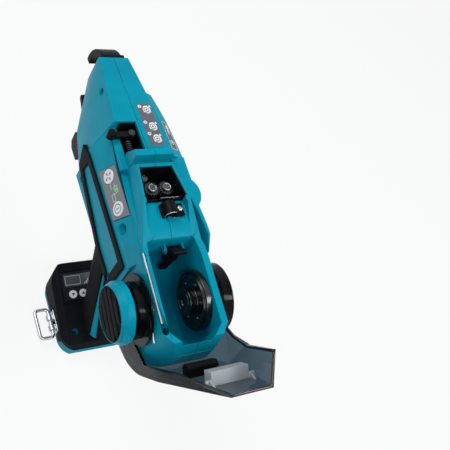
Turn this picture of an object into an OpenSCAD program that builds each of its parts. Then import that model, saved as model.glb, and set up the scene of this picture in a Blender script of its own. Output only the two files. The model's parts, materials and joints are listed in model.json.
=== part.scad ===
// Cordless rebar tying tool with a pistol grip, its reel cover swung open and its reel chamber empty.
// Everything is drawn from the reel axis: X to the tool's right, Y towards the nose, Z up.
// place() then moves it so that the middle of the foot's base face is the origin. Millimetres.

/* [Stance] */
// Height of the reel axis above the foot's base face
axis_height = 218; // [214:1:222]

/* [Housing] */
// Wall of the moulded housing halves
wall = 3; // [2.6:0.1:3.4]
// Half width of the body across its sides
body_half_w = 36; // [35:0.5:37]
// Underside of the body below the reel axis
body_below = 54; // [53:0.5:55]
// Top deck above the reel axis
deck_h = 52; // [51:0.5:53]
// Front face of the nose ahead of the reel axis
nose_reach = 253; // [248:1:258]
// Where the raised nose starts behind the deck lip
nose_start = 131; // [130:0.5:132]
// Outer radius of the reel chamber
drum_r = 54; // [53.5:0.25:54.5]
// Half width of the open reel chamber
chamber_half_w = 26; // [25:0.5:26.5]

/* [Reel cover] */
// Outer radius of the cover's round part
cover_r = 60; // [59.5:0.25:61]
// Wall of the cover
cover_t = 2.4; // [2:0.1:2.6]
// How far the cover is swung open in the rest pose, in degrees
cover_open = 118; // [100:1:118]

/* [Reel stop] */
// Radius of the pulled knob
knob_r = 28.6; // [28:0.1:29.5]
// Radius of the knob's sliding spindle
spindle_r = 15; // [14:0.25:15.5]

/* [Wire feed] */
// Pitch radius of the two equal feed gears
gear_pitch_r = 7.5; // [7.2:0.1:7.6]
// Teeth on each feed gear
gear_teeth = 18; // [16:2:18]

/* [Grip and foot] */
// Half width of the grip
grip_half_w = 17; // [16:0.5:17.5]
// Half depth of the grip
grip_half_d = 23; // [22:0.5:24]
// Lean of the grip from upright, in degrees
grip_lean = 24; // [23:0.5:25]
// Half width of the foot
foot_half_w = 41; // [40:0.5:42]
// Half width of the battery slide between its rail walls
slide_half_w = 33; // [32:0.5:34]

/* [Hidden] */
$fn = 48;
// Overrun of a cut past the face it opens
over = 1;
// Half of the parting line between the housing halves
seam = 0.1;
// Radial running clearance of a turning shaft
run_gap = 0.06;
// Gap around a fixed insert and around a sliding key
fit_gap = 0.25;
// Half extent that is larger than the whole tool
reach = nose_reach + cover_r;
// How far the middle of the foot lies ahead of the reel axis
foot_ahead = 84;
// Width of a bar's straight web as a share of its round ends
web_share = 0.985;

// Depths below the deck, bottom and top where there are two
ledge_drop = 10;
groove_drop = 4;
pocket_drop = 30.5;
liner_drop = 1;
room_drop = 35;
tray_drop = [30, 7];
flank_drop = 15.5;
tail_drop = [27, 21];
gear_drop = [19, 11];
axle_drop = 9;
arm_drop = [26, 22];
arm_pin_drop = 10;
lever_drop = [14.5, 8.5];
lever_tip_drop = 5.5;
spring_drop = 13.5;
guide_drop = 5.5;
feedbox_drop = [40, 35.4];
feed_motor_drop = 66;
lip_rise = 8;
lip_foot_drop = 7;

// Lever tray in the top of the nose's left half
tray_x = [-18.5, -2.5];
tray_y = [138, 171];
tray_t = 1.2;
tail_slot_x = [-18, -4];
tail_slot_y = [115, 140];
tray_lo = [tray_x[0], tray_y[0], deck_h - tray_drop[0]];
tray_hi = [tray_x[1], tray_y[1], deck_h - tray_drop[1]];
tail_slot_lo = [tail_slot_x[0], tail_slot_y[0], deck_h - tail_drop[0]];
tail_slot_hi = [tail_slot_x[1], tail_slot_y[1], deck_h - tail_drop[1]];

// Body bar between the chamber and the nose: its flanks lean in above a waist that sinks to the front
bar_start = 36;
bar_end = tray_hi[1] + fit_gap;
body_chamfer = 8;
waist_back = 10.5;
waist_front = 3;
flank_lean_share = 0.307;
flank_top = deck_h - flank_drop;
waist_slope = (waist_front - waist_back) / (bar_end - bar_start);
flank_yaw = atan2(-flank_lean_share * waist_slope, norm([1, flank_lean_share]));

// Nose sections from back to front: place along the nose, half width, half width of the top,
// underside, waist, top and bottom chamfer, as shares of the nose length, body_half_w,
// body_half_w, body_below, deck_h, deck_h and body_chamfer
nose_shares = [
    [0, 1, 0.70, -1, 0.115, 0.93, 1],
    [0.336, 0.97, 0.667, -0.85, 0.096, 0.904, 1],
    [0.664, 0.82, 0.556, -0.685, 0.096, 0.865, 1.1],
    [1, 0.472, 0.444, -0.11, 0.29, 0.808, 1.75]
];
slice_t = 0.2;

// Upper block: chamber side walls, rims and the deck round the feed gears
upper_half_w = 33;
upper_taper_y = 30;
left_taper_y = 38;
deck_front_y = 121;
deck_front_half_w = 18.6;
deck_left_half_w = 20.5;
lean_half_w = 21.5;
lean_plan = 6.4;
lean_up = 8.5;
deck_back_y = 83;
rim_front = [46, 36];
rim_back = [-45, 27];
back_edge = [-52.6, 12];
back_half_w = 18;
back_corner_y = -35;
lip_y = 124.5;
lip_h = deck_h + lip_rise;
lip_foot = 7;
groove_h = deck_h - groove_drop;
upper_low = -10;

// Wide rim on the right that the closed lid's edge drops behind, a web that ties its back end to the bar
// and a shoulder that carries it on along the nose
rim_inner = [[38, 35], [37.1, 44], [36, 58], [34.3, 75], [29.9, 100], [25.8, 124], [25, 133]];
rim_outer = [[39.8, 133], [39.8, 108], [37.8, 84], [39.4, 58], [39.3, 50], [38.8, 35]];
rim_profile = [[35, 3], [133, 3], [133, 40], [48, 40], [35, 28]];
rim_web = [[34, 36], [34, 58], [38, 58], [38.5, 36]];
rim_web_top = 12;
shoulder_plan = [[22, 132], [40.6, 132], [40.6, 141], [39, 160], [36.6, 178], [32.6, 194], [28, 208],
    [20, 208]];
shoulder_at = [24, 131, 46];
shoulder_tilt = [-2.58, 28.8, 0];

// Reel chamber and the rounded ledge in front of it
chamber_r = 51;
ledge_r = 9;
ledge_y = 57;
ledge_top = deck_h - ledge_drop;
ledge_front_y = 80;
ledge_half_w = 21;
ledge_in_y = 48;
boss_r = 20;
boss_end = 46;

// Pocket of the feed gears
pocket_back = [22, 84.5];
pocket_back_left = 20.6;
pocket_front = [16.6, 117];
pocket_floor = deck_h - pocket_drop;
liner_t = 1;
liner_floor_t = 2;
liner_top = deck_h - liner_drop;

// Motor bulge on the right side
bulge = [26, 95];
bulge_r = 20;
bulge_low = -22;
bulge_foot = -42;
bulge_top = 29;
bulge_rise = 38;

// Inner space of the body bar
bar_room_back = 62;
bar_room_step = 88;
bar_room_top = deck_h - room_drop;
back_room_top = 8;
room_waist = 2;

// Twisting drive
twist_z = 8;
twist_r = 5;
mouth_r = 6.5;
mouth_depth = 70;
motor_r = 19;
motor_z = -22;
motor_y = [72, 133];
gear_case_y = [133, 160];
gear_case_r = 20;
gear_case_small_r = 11.5;
case_flange_t = 3;
case_flange_h = 16;
case_gap = 0.35;

// Jaw arm ears under the nose
arm_back = 24;
arm_pivot = [nose_reach - arm_back, -32.5];
arm_pin_r = 2.5;
ear_r = 7;
ear_in = 9;
ear_out = 12;
ear_root_h = 14;

// Grip
grip_top = [118, -46];
grip_end_up = 33.14;
grip_len = (axis_height + grip_top[1] - grip_end_up) / cos(grip_lean);
grip_power = 2.5;
grip_steps = 40;
rubber_t = 1.6;

// Foot outline behind, along the top and in front
foot_back_up = 10;
foot_heel_up = 25;
foot_toe_up = 48;
foot_room_up = 18;
foot_back = [36, foot_back_up - axis_height];
foot_heel = [42, foot_heel_up - axis_height];
foot_toe = [128, foot_toe_up - axis_height];
foot_front_y = 133;
foot_toe_drop = 8;
foot_corner_r = 21;
foot_edge = 6;
foot_strip_h = 9;
heel_band_y = 52;
heel_band_h = 7;
slide_lip = 5;
slide_h = 15;
slide_lip_h = 5;
slide_back_y = 50;
foot_room_y = [66, 127];
foot_room_floor = foot_room_up - axis_height;
foot_tilt = atan2(foot_toe[1] - foot_heel[1], foot_toe[0] - foot_heel[0]);

// Trigger window in the grip
trigger_half_w = 10;
trigger_top = -57;
trigger_low = -99;

// Housing screws
screw_head_r = 3;
screw_head_h = 2.4;
screw_r = 1.6;
screw_len = 8;
screw_hex_r = 1.4;
screw_hole_r = 3.6;
recess_r = 5.4;
recess_in = 4;
screw_sink = 14;
screw_boss_r = 5.5;
screw_boss_end = 2;
rim_screw = [-29.5, -33.5, 22];
rim_head_r = 2.6;
rim_hole_r = rim_head_r + fit_gap;
foot_screw_up = 22;
foot_screw = [-28, 54, foot_screw_up - axis_height];
nose_screw_back = 39;
side_screw_places = [[-27, 73.5, 15], [-17, nose_reach - nose_screw_back, 36], [-30, 160, -36],
    [-30, 52, -40]];

teal = [0.04, 0.52, 0.60];
black = [0.06, 0.06, 0.06];
dark = [0.16, 0.17, 0.18];
grey = [0.55, 0.57, 0.58];
steel = [0.72, 0.73, 0.74];

module place() {
    translate([0, -foot_ahead, axis_height]) children();
}

// A Y-Z outline drawn out across the tool
module across(x0, x1) {
    translate([x0, 0, 0]) rotate([90, 0, 90]) linear_extrude(height = x1 - x0) children();
}

// An X-Z outline drawn out along the tool
module along(y0, y1) {
    translate([0, y1, 0]) rotate([90, 0, 0]) linear_extrude(height = y1 - y0) children();
}

module rod_x(r, x0, x1) {
    translate([x0, 0, 0]) rotate([0, 90, 0]) cylinder(r = r, h = x1 - x0);
}

module rod_y(r, y0, y1) {
    translate([0, y0, 0]) rotate([-90, 0, 0]) cylinder(r = r, h = y1 - y0);
}

module rod_z(r, z0, z1) {
    translate([0, 0, z0]) cylinder(r = r, h = z1 - z0);
}

module block(lo, hi) {
    translate(lo) cube(hi - lo);
}

// A straight bar with round ends between two outline points
module bar_2d(a, b, r) {
    d = b - a;
    n = [-d[1], d[0]] / norm(d) * r * web_share;
    polygon([a + n, b + n, b - n, a - n]);
    translate(a) circle(r = r);
    translate(b) circle(r = r);
}

function waist_at(y) = waist_back + waist_slope * (y - bar_start);

// A chamfered section whose flanks lean in from a waist to a top
module section(w, b, waist, top) {
    t = w - flank_lean_share * (top - waist);
    polygon([[-w + body_chamfer, b], [-w, b + body_chamfer], [-w, waist], [-t, top], [t, top], [w, waist],
        [w, b + body_chamfer], [w - body_chamfer, b]]);
}

// The body bar, kept under the closed lid's edge
module bar_form() {
    drop = [0, skirt_gap];
    low = -body_below - over;
    rest = lid_end_y + skirt_gap;
    intersection() {
        hull() {
            along(bar_start, bar_start + slice_t) section(body_half_w, -body_below, waist_back, flank_top);
            along(bar_end - slice_t, bar_end) section(body_half_w, -body_below, waist_front, flank_top);
        }
        across(-reach, reach) polygon([[cover_skirt[1][0], low], [bar_end + over, low],
            [bar_end + over, flank_top],
            [rest, flank_top], [rest, lid_low_z - skirt_gap], cover_skirt[3] - drop, cover_skirt[2] - drop,
            cover_skirt[1] - drop]);
    }
}

module nose_slice(k, i) {
    row = nose_shares[k];
    last = k == len(nose_shares) - 1;
    y = nose_start + row[0] * (nose_reach - nose_start) - (last ? i + slice_t : 0);
    w = row[1] * body_half_w - i;
    t = row[2] * body_half_w - i;
    b = row[3] * body_below + i;
    m = row[4] * deck_h;
    h = row[5] * deck_h - i;
    c = row[6] * body_chamfer;
    translate([0, y, 0]) along(0, slice_t)
        polygon([[-w + c, b], [-w, b + c], [-w, m], [-t, h], [t, h], [w, m], [w, b + c], [w - c, b]]);
}

module nose(i) {
    for (k = [0:len(nose_shares) - 2]) {
        hull() {
            nose_slice(k, i);
            nose_slice(k + 1, i);
        }
    }
}

// The nose with its left top cut back to the front of the lever tray
module nose_form() {
    difference() {
        nose(0);
        block([-reach, nose_start - over, waist_front], [tray_hi[0] + fit_gap, bar_end, reach]);
    }
}

module upper_profile() {
    intersection() {
        circle(r = drum_r);
        polygon([[-drum_r - over, -drum_r - over], [drum_r + over, -drum_r - over],
            [drum_r + over, rim_front[1]],
            rim_front, rim_back, back_edge, [-drum_r - over, back_edge[1]]]);
    }
    polygon([[bar_start, upper_low], [nose_start + lip_foot, upper_low],
        [nose_start + lip_foot, deck_h - lip_foot_drop],
        [nose_start, lip_h], [lip_y, lip_h], [lip_y, groove_h], [deck_front_y, groove_h],
            [deck_front_y, deck_h],
        [deck_back_y, deck_h], rim_front, [bar_start, rim_front[1]]]);
}

// Plan of the upper block, drawn in by i
module upper_plan(i) {
    w = upper_half_w - i;
    f = deck_front_half_w - i;
    g = deck_left_half_w - i;
    b = back_half_w - i / 2;
    y = -drum_r + i;
    end = nose_start + lip_foot;
    polygon([[-b, y], [b, y], [w, back_corner_y], [w, upper_taper_y], [f, deck_front_y], [f, end],
        [-g, end], [-g, deck_front_y], [-w, left_taper_y], [-w, back_corner_y]]);
}

// What is cut off the deck's left flank so that it leans in under the closed lid
module left_lean() {
    translate([-lean_half_w, lid_end_y + skirt_gap, lid_low_z]) rotate([0, 0, -lean_plan])
        rotate([0, lean_up, 0])
        translate([-reach, -reach, -over]) cube([reach, reach, reach]);
}

module upper_block() {
    difference() {
        intersection() {
            across(-upper_half_w - over, upper_half_w + over) upper_profile();
            translate([0, 0, -drum_r - over]) linear_extrude(height = drum_r + lip_h + over + over)
                upper_plan(0);
        }
        left_lean();
    }
    right_rim();
    shoulder();
}

module right_rim() {
    low = rim_profile[0][1];
    high = rim_profile[2][1];
    end = rim_profile[1][0];
    intersection() {
        translate([0, 0, low]) linear_extrude(height = high - low) polygon(concat(rim_inner, rim_outer));
        across(0, reach) polygon(rim_profile);
    }
    intersection() {
        translate(bulge) rod_z(bulge_r, bulge_top - over, bulge_rise);
        linear_extrude(height = high)
            polygon(concat(rim_inner, [[reach, end], [reach, rim_inner[0][1]]]));
    }
    translate([0, 0, low]) linear_extrude(height = rim_web_top - low) polygon(rim_web);
}

module shoulder() {
    low = rim_profile[0][1];
    intersection() {
        translate([0, 0, low]) linear_extrude(height = deck_h) polygon(shoulder_plan);
        translate(shoulder_at) rotate(shoulder_tilt) block([-reach, -reach, -reach], [reach, reach, 0]);
    }
}

// The open reel chamber with the rounded ledge left standing
module chamber_room() {
    open_top = lip_h + over;
    intersection() {
        across(-chamber_half_w, chamber_half_w) {
            circle(r = chamber_r);
            translate([-chamber_r, 0]) square([chamber_r + ledge_in_y, open_top]);
        }
        translate([0, 0, -drum_r]) linear_extrude(height = drum_r + open_top)
            upper_plan(upper_half_w - chamber_half_w);
    }
    across(-ledge_half_w, ledge_half_w) {
        translate([ledge_y, ledge_top]) square([ledge_front_y - ledge_y, open_top - ledge_top]);
        difference() {
            translate([ledge_in_y - over, ledge_top - ledge_r])
                square([ledge_y - ledge_in_y + over, open_top - ledge_top + ledge_r]);
            translate([ledge_y, ledge_top - ledge_r]) circle(r = ledge_r);
        }
    }
}

// Plan of the gear pocket, drawn in by i
module pocket_plan(i) {
    b = pocket_back[0] - i;
    g = pocket_back_left - i;
    f = pocket_front[0] - i;
    yb = pocket_back[1] + i;
    yf = pocket_front[1] - i;
    polygon([[-g, yb], [b, yb], [f, yf], [-f, yf]]);
}

function grip_outline(i) = [for (k = [0:grip_steps - 1]) let (a = k * 360 / grip_steps)
    [(grip_half_w - i) * sign(cos(a)) * pow(abs(cos(a)), 2 / grip_power),
     (grip_half_d - i) * sign(sin(a)) * pow(abs(sin(a)), 2 / grip_power)]];

// The grip's leaning column between two lengths along it, drawn in by i
module grip(i, from, to) {
    translate([0, grip_top[0], grip_top[1]]) rotate([-grip_lean, 0, 0]) translate([0, 0, -to])
        linear_extrude(height = to - from) polygon(grip_outline(i));
}

module foot_plan(i) {
    r = foot_corner_r - i;
    w = foot_half_w - foot_corner_r;
    y0 = foot_back[0] + foot_corner_r;
    y1 = foot_front_y - foot_corner_r;
    translate([-w - r, y0]) square([2 * (w + r), y1 - y0]);
    translate([-w, y0 - r]) square([2 * w, y1 - y0 + 2 * r]);
    for (x = [-w, w], y = [y0, y1]) {
        translate([x, y]) circle(r = r);
    }
}

module foot_profile(i) {
    base = -axis_height;
    polygon([[foot_back[0] + (foot_heel[0] - foot_back[0]) / 2, base], foot_back - [-i, 0],
        foot_heel - [-i, i],
        foot_toe - [i, i], [foot_front_y - i, foot_toe[1] - foot_toe_drop], [foot_front_y - i, base]]);
}

// The two slopes along the foot's long top edges, seen along its sloping top
module foot_gable(i) {
    k = foot_half_w - foot_edge - i * sqrt(2);
    polygon([[0, k], [k + reach, -reach], [-k - reach, -reach]]);
}

module foot(i) {
    intersection() {
        across(-foot_half_w + i, foot_half_w - i) foot_profile(i);
        translate([0, 0, -axis_height]) linear_extrude(height = axis_height) foot_plan(i);
        on_foot_top(0, foot_heel[0]) rotate([90, 0, 0]) translate([0, 0, -reach])
            linear_extrude(height = 2 * reach) foot_gable(i);
    }
}

// A point on the foot's sloping top, turned so that Z stands on it
module on_foot_top(x, y) {
    z = foot_heel[1] + (y - foot_heel[0]) * tan(foot_tilt);
    translate([x, y, z]) rotate([foot_tilt, 0, 0]) children();
}

// The left flank at the button panel, turned so that Z stands on it and X runs up it
module on_flank(y) {
    translate([-body_half_w + flank_lean_share * panel_rise, y, waist_at(y) + panel_rise])
        rotate([0, -atan2(1, flank_lean_share), 0]) rotate([-flank_yaw, 0, 0]) children();
}

module ear(x0, x1) {
    across(x0, x1) {
        translate(arm_pivot) circle(r = ear_r);
        polygon([arm_pivot + [-ear_r, 0], arm_pivot + [ear_r, 0], arm_pivot + [ear_r, ear_root_h],
            arm_pivot + [-2 * ear_r, ear_root_h], arm_pivot + [-2 * ear_r, 0]]);
    }
}

// Places of the screws that run across the housing, sunk in from the left
module at_side_screws() {
    for (p = side_screw_places) {
        translate(p) children();
    }
}

module housing_solid() {
    bar_form();
    nose_form();
    upper_block();
    rod_x(boss_r, -boss_end, boss_end);
    translate(bulge) rod_z(bulge_r, bulge_low, bulge_top);
    translate([bulge[0], bulge[1], bulge_foot])
        cylinder(r1 = bulge_r / 2, r2 = bulge_r, h = bulge_low - bulge_foot);
    grip(0, 0, grip_len);
    foot(0);
    ear(-ear_out, -ear_in);
    ear(ear_in, ear_out);
}

// Two ears that stand out of the chamber's front wall and carry the brake's pin
module brake_ear_pair() {
    difference() {
        for (x = brake_ears) {
            across(x, x + brake_ear_t)
                bar_2d(brake_pivot, [ledge_in_y + ledge_r / 2, brake_pivot[1]], brake_ear_r);
        }
        translate([0, brake_pivot[0], brake_pivot[1]]) rod_x(brake_pin_r + run_gap, -reach, reach);
    }
}

module housing_rooms() {
    difference() {
        union() {
            along(bar_room_back, bar_room_step)
                section(body_half_w - wall, wall - body_below, room_waist, back_room_top);
            along(bar_room_step - over, nose_start + over)
                section(body_half_w - wall, wall - body_below, room_waist, bar_room_top);
            nose_room();
            translate(bulge) rod_z(bulge_r - wall, bulge_low + wall, bulge_top - wall);
        }
        rod_x(drum_r + over, -reach, reach);
        at_side_screws() rod_x(screw_boss_r, -reach, screw_len + screw_boss_end);
    }
    grip(wall, -wall, grip_len - wall);
    across(-slide_half_w, slide_half_w)
        polygon([[foot_room_y[0], foot_room_floor], [foot_room_y[1], foot_room_floor],
        [foot_room_y[1], foot_toe[1] - 2 * wall], [foot_room_y[0], foot_heel[1]]]);
}

// The nose's inner space, closed under and beside the lever tray
module nose_room() {
    difference() {
        nose(wall);
        block([-reach, nose_start - over, tray_lo[2] - tray_t], [0, tray_hi[1] + wall, reach]);
    }
}

module housing_cuts() {
    top = lip_h + over;
    chamber_room();
    translate([0, 0, pocket_floor]) linear_extrude(height = top - pocket_floor) pocket_plan(0);
    along(ledge_front_y - over, pocket_back[1] + over) translate([-ledge_half_w + over, ledge_top])
        square([2 * (ledge_half_w - over), top - ledge_top]);
    block(tray_lo - [fit_gap, fit_gap, 0], [tray_hi[0] + fit_gap, tray_hi[1] + fit_gap, top]);
    block(tail_slot_lo, tail_slot_hi);
    translate([0, 0, twist_z]) rod_y(mouth_r, nose_reach - mouth_depth, nose_reach + over);
    translate([gear_x + 2 * gear_pitch_r, gear_y, 0])
        rod_z(axle_r + fit_gap, bar_room_top - over, pocket_floor + over);
    rod_x(spindle_r + run_gap, -boss_end - over, 0);
    rod_x(hub_shaft_r + run_gap, 0, boss_end + over);
    translate([0, arm_pivot[0], arm_pivot[1]]) rod_x(arm_pin_r + run_gap, -reach, reach);
    block([-trigger_half_w - fit_gap, trigger_back - trigger_travel - fit_gap, trigger_low - fit_gap],
        [trigger_half_w + fit_gap, reach, trigger_top + fit_gap]);
    translate([0, lock_place[0], lock_place[1]]) rod_x(lock_r + fit_gap, -reach, reach);
    slide_room();
    at_side_screws() {
        rod_x(screw_hole_r, -reach, 0);
        rod_x(screw_r + run_gap, -over, screw_len + over);
    }
    translate(side_screw_places[0]) rod_x(recess_r, -reach, -recess_in);
    translate(rim_screw) {
        rod_z(rim_hole_r, 0, screw_sink);
        rod_z(screw_r + run_gap, -screw_len - over, over);
    }
    translate(foot_screw) {
        rod_z(screw_hole_r, 0, screw_sink);
        rod_z(screw_r + run_gap, -screw_len - over, over);
    }
    translate(wire_from) rotate([wire_slope, 0, 0]) {
        rod_y(wire_r + fit_gap, 0, wire_len);
        block([-wire_r - fit_gap, 0, 0], [wire_r + fit_gap, wire_len, wire_r + over]);
    }
    on_flank(panel_y) panel_body(fit_gap);
    on_foot_top(panel_x, display_y) display_body(fit_gap);
    translate([0, lamp_y[0], 0]) block([-lamp_key - fit_gap, -fit_gap, -reach],
        [lamp_key + fit_gap, lamp_key + fit_gap, lamp_top + lamp_key + fit_gap]);
}

// The battery slide: a channel open to the front, with lips along both sides
module slide_room() {
    base = -axis_height - over;
    block([-slide_half_w + slide_lip, slide_back_y, base],
        [slide_half_w - slide_lip, foot_front_y + over, -axis_height + slide_h]);
    block([-slide_half_w, slide_back_y, -axis_height + slide_lip_h],
        [slide_half_w, foot_front_y + over, -axis_height + slide_h]);
}

module housing(side) {
    intersection() {
        union() {
            difference() {
                housing_solid();
                housing_rooms();
                housing_cuts();
            }
            brake_ear_pair();
        }
        translate([side < 0 ? -reach : seam, -reach, -reach]) cube([reach - seam, 2 * reach, 2 * reach]);
    }
}

module left_housing() {
    color(teal) place() housing(-1);
}

module right_housing() {
    color(teal) place() housing(1);
}

// Rubber rails that frame the bare side panel
rail_t = 2.2;
rail_in = 3.5;
rail_outline = [[42, 2], [166, 2], [181, -4], [172, -27], [150, -33], [84, -46], [48, -46], [42, -40]];
rail_window = [[52, -6], [160, -6], [163, -22], [148, -26], [82, -39], [52, -39]];

module side_rail(x0, x1) {
    difference() {
        across(x0, x1) difference() {
            polygon(rail_outline);
            polygon(rail_window);
        }
        bar_form();
        nose_form();
    }
}

module left_side_rubber() {
    color(black) place() difference() {
        side_rail(-body_half_w - rail_t, -body_half_w + rail_in);
        at_side_screws() rod_x(screw_hole_r, -reach, 0);
    }
}

module right_side_rubber() {
    color(black) place() difference() {
        side_rail(body_half_w - rail_in, body_half_w + rail_t);
        translate(bulge) rod_z(bulge_r + fit_gap, bulge_foot, bulge_top);
    }
}

// Rubber sleeve on the grip with a bare strip down each side
grip_rubber_from = 26;
grip_rubber_to = 151;
grip_strip_in = 4;
grip_strip = [[-13, -56], [-16.5, -62], [-21.5, -160], [-13, -160]];

module grip_rubber() {
    color(black) place() difference() {
        grip(-rubber_t, grip_rubber_from, grip_rubber_to);
        grip(0, 0, grip_len);
        block([-trigger_half_w - over, grip_top[0] - grip_half_d, trigger_low - over],
            [trigger_half_w + over, reach, trigger_top + over]);
        translate([0, grip_top[0], grip_top[1]]) rotate([-grip_lean, 0, 0]) {
            across(-reach, -grip_strip_in) polygon(grip_strip);
            across(grip_strip_in, reach) polygon(grip_strip);
        }
        foot(-rubber_t - fit_gap);
        translate([0, lock_place[0], lock_place[1]]) rod_x(lock_r + over, -reach, reach);
        side_fill();
    }
}

// The body's lower side, which the grip sleeve stops under
module side_fill() {
    block([-reach, -reach, -body_below - over / 2], [reach, reach, reach]);
}

// Rubber skin over the foot's top and heel, ending above the bare base strip
module foot_rubber() {
    strip_top = -axis_height + foot_strip_h;
    color(black) place() difference() {
        union() {
            foot(-rubber_t);
            difference() {
                on_foot_top(panel_x, display_y) display_frame();
                grip(-rubber_t - fit_gap, 0, grip_len);
            }
        }
        foot(0);
        grip(-fit_gap, 0, grip_len + over);
        block([-reach, -reach, -reach], [reach, reach, strip_top]);
        block([-reach, -reach, -reach], [reach, heel_band_y, strip_top + heel_band_h]);
        block([-slide_half_w, foot_front_y - over, -reach], [slide_half_w, reach, strip_top + slide_h]);
        on_foot_top(panel_x, display_y) display_body(fit_gap);
        translate(foot_screw) rod_z(screw_hole_r, 0, screw_sink);
        translate([0, hook_y[0] - over, hook_z - hook_plate_h / 2 - over])
            block([-reach, 0, 0], [-foot_half_w + over, hook_y[1] - hook_y[0] + 2 * over,
                hook_plate_h + 2 * over]);
    }
}

module screw_z(head_r) {
    difference() {
        union() {
            rod_z(head_r, 0, screw_head_h);
            rod_z(screw_r, -screw_len, 0);
        }
        translate([0, 0, screw_head_h / 2]) cylinder(r = screw_hex_r, h = screw_head_h, $fn = 6);
    }
}

module housing_screws() {
    color(steel) place() {
        at_side_screws() rotate([0, -90, 0]) screw_z(screw_head_r);
        translate(rim_screw) screw_z(rim_head_r);
        translate(foot_screw) screw_z(screw_head_r);
    }
}

// Button panel on the left shoulder, drawn out by i
panel_y = 110.7;
panel_rise = 12.2;
panel_len = 54;
panel_w = 23.4;
panel_skew = 3.4;
panel_t = 1.6;
panel_stand = 0.8;
power_share = -0.32;
mode_share = 0.33;
lamp_share = 0.02;
lamp_up = 3.7;
power_along = power_share * panel_len;
mode_along = mode_share * panel_len;
push_r = 7.2;
push_t = 2.6;
push_travel = 0.8;
led_r = 2;

module panel_body(i) {
    w = panel_w / 2 + i;
    h = panel_len / 2 + i;
    translate([0, 0, -panel_t]) linear_extrude(height = panel_t + panel_stand)
        polygon([[-w, -h + panel_skew], [-w, h + panel_skew], [w, h - panel_skew], [w, -h - panel_skew]]);
}

module button_panel() {
    color(grey) place() on_flank(panel_y) difference() {
        panel_body(0);
        for (y = [power_along, mode_along]) {
            translate([0, y, 0]) rod_z(push_r + fit_gap, -panel_t + push_travel / 2, push_t);
        }
        translate([lamp_up, lamp_share * panel_len, 0]) rod_z(led_r + run_gap, -over, push_t);
    }
}

module push_cap(y) {
    translate([0, y, 0]) rod_z(push_r, panel_stand - panel_t / 2, panel_stand + push_travel);
}

module power_button() {
    color(grey) place() on_flank(panel_y) push_cap(power_along);
}

module mode_button() {
    color(grey) place() on_flank(panel_y) push_cap(mode_along);
}

module indicator_lamp() {
    color([0.1, 0.8, 0.25]) place() on_flank(panel_y)
        translate([lamp_up, lamp_share * panel_len, 0]) rod_z(led_r, -over, panel_stand + push_travel / 2);
}

// Display panel on the foot's top
panel_x = -8.5;
display_y = 104;
display_w = 50;
display_d = 33;
display_t = 3;
display_stand = 1.6;
display_frame_w = 3;
display_frame_h = 1.2;
glass_w = 32;
glass_d = 14;
glass_t = 1.2;
glass_at = [-6, 6.5];
down_at = [-14, -9.5];
up_at = [-2, -9.5];
key_r = 4.6;

module display_body(i) {
    w = display_w / 2 + i;
    d = display_d / 2 + i;
    block([-w, -d, -display_t], [w, d, display_stand + i]);
}

// Raised border of the foot's skin round the display
module display_frame() {
    in_w = display_w / 2 + fit_gap;
    in_d = display_d / 2 + fit_gap;
    w = in_w + display_frame_w;
    d = in_d + display_frame_w;
    high = rubber_t + display_frame_h;
    difference() {
        block([-w, -d, 0], [w, d, high]);
        block([-in_w, -in_d, -over], [in_w, in_d, high + over]);
    }
}

module display_panel() {
    color(dark) place() on_foot_top(panel_x, display_y) difference() {
        display_body(0);
        translate([glass_at[0] - glass_w / 2, glass_at[1] - glass_d / 2, display_stand - glass_t])
            cube([glass_w, glass_d, display_stand]);
        for (p = [down_at, up_at]) {
            translate(p) rod_z(key_r + fit_gap, -display_t + over, display_stand + over);
        }
    }
}

module display_glass() {
    color(grey) place() on_foot_top(panel_x, display_y)
        translate([glass_at[0] - glass_w / 2 + run_gap, glass_at[1] - glass_d / 2 + run_gap,
            display_stand - glass_t])
        cube([glass_w - 2 * run_gap, glass_d - 2 * run_gap, glass_t - run_gap]);
}

module key_cap(p) {
    translate(p) rod_z(key_r, -display_t + over + push_travel + fit_gap,
        display_stand + push_travel + fit_gap);
}

module down_button() {
    color([0.85, 0.86, 0.86]) place() on_foot_top(panel_x, display_y) key_cap(down_at);
}

module up_button() {
    color([0.85, 0.86, 0.86]) place() on_foot_top(panel_x, display_y) key_cap(up_at);
}

// Wire feed: liner, two meshed gears, the idler's swing arm and the bell-mouthed guide
gear_x = -5.5;
gear_y = 99.5;
gear_z = [deck_h - gear_drop[0], deck_h - gear_drop[1]];
gear_addendum_share = 0.07;
gear_dedendum_share = 0.105;
tooth_tip_share = 0.12;
tooth_root_share = 0.32;
gear_groove = 0.9;
axle_r = 3;
axle_head_r = 4.4;
axle_top = deck_h - axle_drop;
idler_axle_r = 2.5;
arm_z = [deck_h - arm_drop[0], deck_h - arm_drop[1]];
arm_pivot_at = [-10.5, 111.5];
arm_tail_at = [-13, 145];
arm_r = 4.4;
tail_r = 2.6;
arm_pin_top = deck_h - arm_pin_drop;
arm_pin_post_r = 2.4;

module feed_liner() {
    color(black) place() difference() {
        translate([0, 0, pocket_floor]) linear_extrude(height = liner_top - pocket_floor)
            pocket_plan(fit_gap);
        translate([0, 0, pocket_floor + liner_floor_t]) linear_extrude(height = deck_h)
            pocket_plan(fit_gap + liner_t);
        translate([gear_x + 2 * gear_pitch_r, gear_y, 0]) rod_z(axle_r + run_gap, 0, deck_h);
        translate(arm_pivot_at) rod_z(arm_pin_post_r + run_gap, pocket_floor + over, deck_h);
        block(tail_slot_lo, tail_slot_hi);
        block([wire_x - guide_r, gear_y - reach, ledge_top - over], [wire_x + guide_r, gear_y, deck_h]);
        block([-bracket_half_w - skirt_gap, deck_back_y, bracket_low - skirt_gap],
            [bracket_half_w + skirt_gap, bracket_y[1], deck_h]);
    }
}

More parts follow.
